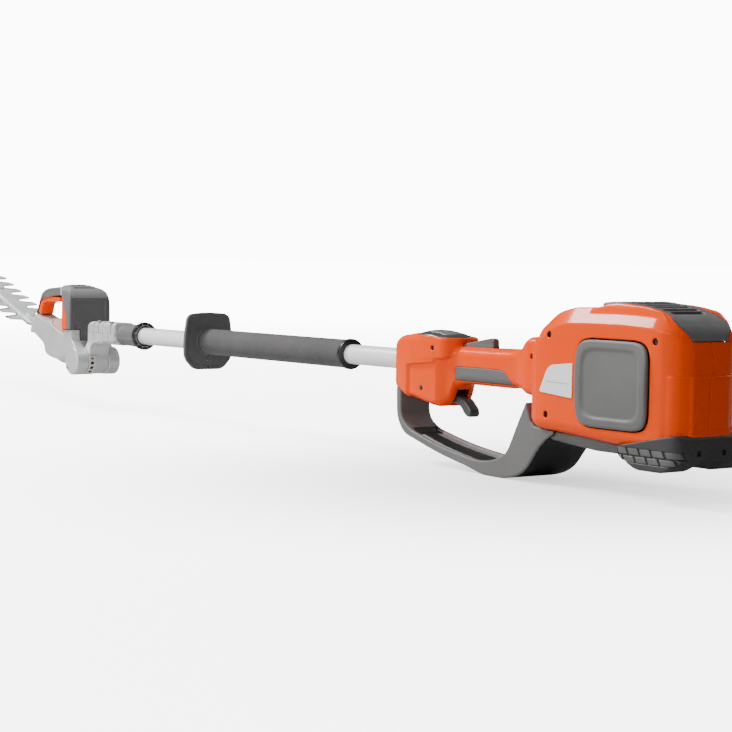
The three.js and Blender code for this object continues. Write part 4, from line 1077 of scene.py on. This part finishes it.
def build_gear_case():
    def case(u, v, w):
        d = case_outside(u, v, w)
        hollow = smax(bowl(u, v, w, 3, bowl_floor(u) + 3, 14), -w - 21, 1)
        hollow = np.minimum(hollow, np.maximum(np.hypot(u - 94, v) - 23, np.maximum(-26 - w, w)))
        blade_slot = block(u, v, w, 100, 200, -12.8, 12.8, -19.8, -11.2)
        bolt_room = block(u, v, w, 100, 130.5, -17.6, 17.6, -19.8, -13.6)
        pin_bore = np.maximum(np.hypot(v - 11.5, w) - 2.6, np.abs(u - 27) - 13)
        tongue = np.maximum(np.hypot(u, w) - 22.5, np.abs(v) - 17.2)
        hinge = np.maximum(np.hypot(u, w) - HINGE_BORE, np.abs(v) - 34.5)
        return cut(d, hollow, blade_slot, bolt_room, pin_bore, tongue, hinge)

    moulded("gear_casting", case, (-22, -38, -32), (189, 38, 43), 0.8, "head", ["gear_case"], CAST,
            False)
    for name, side in SIDES:
        place = (9.5, 36.9 * side, -13.5)

        def grub(u, v, w, place=place):
            across = np.hypot(u - place[0], w - place[2])
            d = smax(across - 3.4, np.abs(v - place[1]) - 0.6, 0.4)
            return cut(d, np.maximum(across - 1.5, 0.2 - np.abs(v - place[1])))

        low = np.array(place) - (4, 1, 4)
        moulded("pivot_grub_" + name, grub, low, low + (8, 2, 8), 0.3, "head", [], TURNED, False)


# ---------------- motor housing and head handle
def seam_height(x, w):
    """Height in the side view at x of the plane w of the cutter head."""
    return PIVOT[1] + (w + (x - PIVOT[0]) * math.sin(TILT)) / math.cos(TILT)


COVER_W = SEAM_W + 0.3  # the underside of the covers
HOUSING_SIDE = rounded([(781, seam_height(781, COVER_W)), (780, 2), (781, 50, 8), (790, 64, 14),
                        (816, 73, 20), (838, 71, 14), (852, 62, 6), (850, 44, 6),
                        (848, seam_height(848, COVER_W))], 8)
HOUSING_ACROSS = rounded(mirrored([(37, -45), (36.5, 30), (35, 50, 8), (32, 64, 12), (12, 73, 24)]), 8)
HOUSING_PLAN = rounded(across_both([(780, 35, 3), (787, 37, 4), (807, 36, 10), (836, 20, 10),
                                    (850, 12, 3)]), 6)
LOOP_OUTER = rounded([(836, 69), (857, 67.5, 20), (905, 64, 24), (923, 57, 12), (932, 40, 16), (941, 23, 3),
                      (938, 20), (906, 21), (906, 30), (836, 30)], 8)
LEVER_SHAPE = rounded([(861, 51, 3), (861, 43.5, 3), (912, 42, 8), (920, 38, 5), (926, 22, 2), (932, 22.5, 2),
                       (935, 26, 2), (926.5, 43, 3), (923, 46.5, 2), (916, 53.5, 4), (908, 54, 4),
                       (888, 51.3, 30)], 8)
LOOP_WINDOW = rounded([(846, 54), (856, 53.6), (888, 51.7, 30), (919, 46.6, 10), (928, 43, 4), (937, 24, 2),
                       (937, 10), (846, 10)], 6)
LEVER_CHANNEL = rounded([(858, 58.5, 3), (908, 58, 6), (918, 55, 5), (926.8, 46, 3), (926.8, 15),
                         (856, 15)], 6)
LINER_SIDE = rounded([(791, -42), (791, 18), (803, 41, 8), (810, 54, 6), (862, 53.5), (862, -42)], 6)
SHELL_SIDE = rounded([(785, -45), (785, 44, 6), (796, 57, 6), (900, 62), (900, -45)], 6)
LEVER_PIVOT = (915.5, 48.5)
LOUVRES = (797, 806, 815, 824)


def housing(x, y, z):
    d = smax(inside(HOUSING_SIDE, x, z), inside(HOUSING_ACROSS, y, z), 2.5)
    return smax(d, inside(HOUSING_PLAN, x, y), 2)


def head_hollow(x, y, z):
    u, w = in_head(x, z)
    can = np.maximum(np.hypot(u - 62, y) - 23, np.abs(w - 46) - 26)
    ears = block(x, np.abs(y), z, 760, 830, 15.8, 50, -60, 3)
    return np.minimum(can, ears)


def cover_room(x, y, z, grow):
    span = np.maximum(np.abs(y) - 31 - grow, x - 900)
    return np.maximum(span, -inside(SHELL_SIDE, x, z) - grow)


def liner_room(x, z, grow):
    return inside(LINER_SIDE, x, z) - grow


def under_seam(x, z):
    return COVER_W - in_head(x, z)[1]


def lever_bore(x, z, r):
    return r - about(x, z, LEVER_PIVOT)


def build_head_covers():
    def cover(x, y, z):
        d = smax(housing(x, y, z), cover_room(x, y, z, 0), 0.8)
        panel = (1 - ramp(np.abs(y) - 25.5, 1.5)) * ramp(z - 8, 3) * ramp(50 - z, 3) * ramp(788 - x, 3)
        d = d + panel
        for at in LOUVRES:
            slot = smax(smax(np.abs(x - at - 2) - 2, np.abs(y) - 19, 2), 64 - z, 0.5)
            d = smax(d, -slot, 0.7)
        pit = np.maximum(np.hypot(y - 24.5, z - 5.5) - 3.4, x - 782.5)
        d = smax(d, -pit, 0.5)
        d = cut(d, head_hollow(x, y, z))
        return np.maximum(d, under_seam(x, z))

    hood = moulded("motor_hood", cover, (779.5, -32, -20), (853, 32, 74.5), 0.75, "head", ["motor_cover"],
                   DARK)
    # Painted light: faces high on the hood that face upwards are made lighter grey.
    paint(hood, HOOD_TOP_PAINTED_LIGHT, lambda x, y, z, normals: (z > 52) & (normals[:, 2] > 0.2))

    def shell(x, y, z):
        block_skin = housing(x, y, z)
        back = cut(block_skin, liner_room(x, z, GAP))
        loop = smax(inside(LOOP_OUTER, x, z), np.abs(y) - 13, 4)
        loop = smax(loop, -inside(LOOP_WINDOW, x, z), 0.8)
        loop = cut(loop, np.maximum(inside(LEVER_CHANNEL, x, z), np.abs(y) - 11.8))
        loop = cut(loop, liner_room(x, z, GAP))
        joint = 0.7 * ramp(0.8 - np.abs(x - 853), 0.6)
        d = smin(back, loop + joint, 1.5)
        d = cut(d, np.maximum(cover_room(x, y, z, GAP), block_skin - GAP), head_hollow(x, y, z))
        d = np.maximum(d, lever_bore(x, z, 2.3))
        return np.maximum(d, np.minimum(under_seam(x, z), 870 - x))

    handle = moulded("head_handle", shell, (779.5, -38, -25), (942, 38, 74.5), 0.8, "head", ["head_shell"],
                     GREY)
    paint(handle, LIGHT_GREY, lambda x, y, z, normals: (x > 850) & (x < 856) & (z > 52))

    def liner(x, y, z):
        d = np.maximum(housing(x, y, z), liner_room(x, z, 0))
        d = cut(d, cover_room(x, y, z, GAP), head_hollow(x, y, z))
        return np.maximum(d, under_seam(x, z))

    moulded("handle_lining", liner, (790, -38, -24), (854, 38, 55), 0.75, "head", ["handle_liner"], ORANGE)

    def lever(x, y, z):
        d = smax(inside(LEVER_SHAPE, x, z), np.abs(y) - 11.3, 2)
        return np.maximum(d, lever_bore(x, z, 2.1))

    moulded("squeeze_lever", lever, (860, -12, 21), (936, 12, 55), 0.6, "tilt_lever", ["tilt_lever"], ORANGE)


# ---------------- finishes of the nodes shown as packed
NODE_LOOKS = {
    "orange": ORANGE, "grey": GREY, "dark": DARK, "black": BLACK, "cable": CABLE, "foam": FOAM,
    "tube_paint": TUBE_PAINT, "cast": CAST, "steel": TURNED, "label": LABEL, "board": BOARD, "copper": COPPER,
}
# The lower blade gets the darker steel as painted shade.
GROUND_STEEL = {"upper_blade": STEEL, "lower_blade": BLADE_STEEL_PAINTED_SHADE, "guide_bar": STEEL}


def finish_nodes():
    slots = {part["node"]: part["material_slot"] for part in frame["record"]["subparts"]}
    for name, obj in frame["nodes"].items():
        if obj.hide_render:
            continue
        look = GROUND_STEEL.get(name, NODE_LOOKS[slots[name]])
        obj.data.materials.clear()
        obj.data.materials.append(look)
        edges = obj.modifiers.new("edges", "BEVEL")
        edges.width, edges.segments = (0.0009, 1) if name.endswith("_blade") else (0.0003, 2)
        edges.limit_method = "ANGLE"
        edges.angle_limit = math.radians(35)
        edges.harden_normals = False


# ---------------- stage, lights and camera
FLOOR_HALF = 60.0
FILL, BACKDROP = 0.1, 11.0  # strength of the surroundings as a light, and as the camera's own rays see them


def build_stage():
    low, high = -FLOOR_HALF, FLOOR_HALF
    floor = mesh_object("floor", [(low, low, 0), (high, low, 0), (high, high, 0), (low, high, 0)],
                        [(0, 1, 2, 3)], floor_material(), smooth=False)


def floor_material():
    """Pale floor: shows soft shadows under the rear of the tool, and pales into the backdrop around it.

    The glow is for the camera's own rays only, so that it throws no light on the tool.
    """
    look = Shading("pale_floor")
    seen = look.node("LightPath").outputs["Is Camera Ray"]
    drift = look.tint(look.noise(0.8, 2), (0.94, 0.94, 0.94), 0.005)
    place = look.node("Mapping", vector=look.place, location=(0.8, 0, 0)).outputs["Vector"]
    distance = look.nodes.new("ShaderNodeVectorMath")
    distance.operation = "LENGTH"
    look.links.new(place, distance.inputs[0])
    away = distance.outputs["Value"]
    glow = look.nodes.new("ShaderNodeMath")
    glow.operation = "ADD"
    look.links.new(look.spread(away, 1.1, 5.0, 0.0, 0.7, "SMOOTHSTEP"), glow.inputs[0])
    look.links.new(look.spread(away, 0.0, 7.0, 0.6, 6.0, "SMOOTHSTEP"), glow.inputs[1])
    return look.finish(
        base_color=look.mix(seen, (0.5, 0.5, 0.5, 1), drift), roughness=0.9, specular_ior_level=0.1,
        emission_color=(1, 1, 1, 1),
        emission_strength=look.spread(seen, 0.0, glow.outputs["Value"], 0.0, 1.0))


def soft_light(name, place, target, size, power):
    light = bpy.data.lights.new(name, "AREA")
    light.shape = "RECTANGLE"
    light.size, light.size_y = size
    light.energy = power
    obj = bpy.data.objects.new(name, light)
    obj.location = place
    obj.rotation_mode = "QUATERNION"
    obj.rotation_quaternion = (Vector(target) - Vector(place)).to_track_quat("-Z", "Y")
    bpy.context.scene.collection.objects.link(obj)


def build_lights():
    world = bpy.data.worlds.new("studio")
    world.use_nodes = True
    nodes, links = world.node_tree.nodes, world.node_tree.links
    seen = new_node(nodes, links, "LightPath").outputs["Is Camera Ray"]
    strength = new_node(nodes, links, "MapRange", value=seen, to_min=FILL, to_max=BACKDROP)
    set_inputs(links, nodes["Background"], {"color": (1, 1, 1, 1), "strength": strength.outputs["Result"]})
    bpy.context.scene.world = world
    soft_light("key", (-0.45, 3.0, 1.2), (-0.2, 0, 0.15), (3.0, 1.4), 74)
    soft_light("top", (0.1, 0.5, 3.0), (0, 0, 0), (3.5, 1.2), 38)
    soft_light("front_strip", (0.95, 0.92, 1.75), (-0.93, 0.04, 0.19), (0.75, 0.42), 72)
    soft_light("far_fill", (-0.4, -3.0, 1.8), (-0.2, 0, 0.15), (3.0, 1.6), 24)


CAMERA_PLACE, CAMERA_LENS = (-2.3771, 1.4236, 0.2452), 94.92
CAMERA_RIGHT = (-0.59062, -0.80678, 0.01675)
CAMERA_UP = (0.05589, -0.02019, 0.99823)
CAMERA_AHEAD = (0.80501, -0.59051, -0.05702)


def build_camera():
    camera = bpy.data.cameras.new("camera")
    camera.lens = CAMERA_LENS
    camera.sensor_width = 36
    camera.clip_start, camera.clip_end = 0.05, 100
    obj = bpy.data.objects.new("camera", camera)
    turn = Matrix((CAMERA_RIGHT, CAMERA_UP, [-c for c in CAMERA_AHEAD])).transposed().to_4x4()
    obj.matrix_world = Matrix.Translation(CAMERA_PLACE) @ turn
    bpy.context.scene.collection.objects.link(obj)
    bpy.context.scene.camera = obj


build_handle()
build_controls()
build_body()
build_battery()
build_guard()
build_underside()
build_tube()
build_clamp()
build_gear_case()
build_head_covers()
finish_nodes()
build_stage()
build_lights()
build_camera()
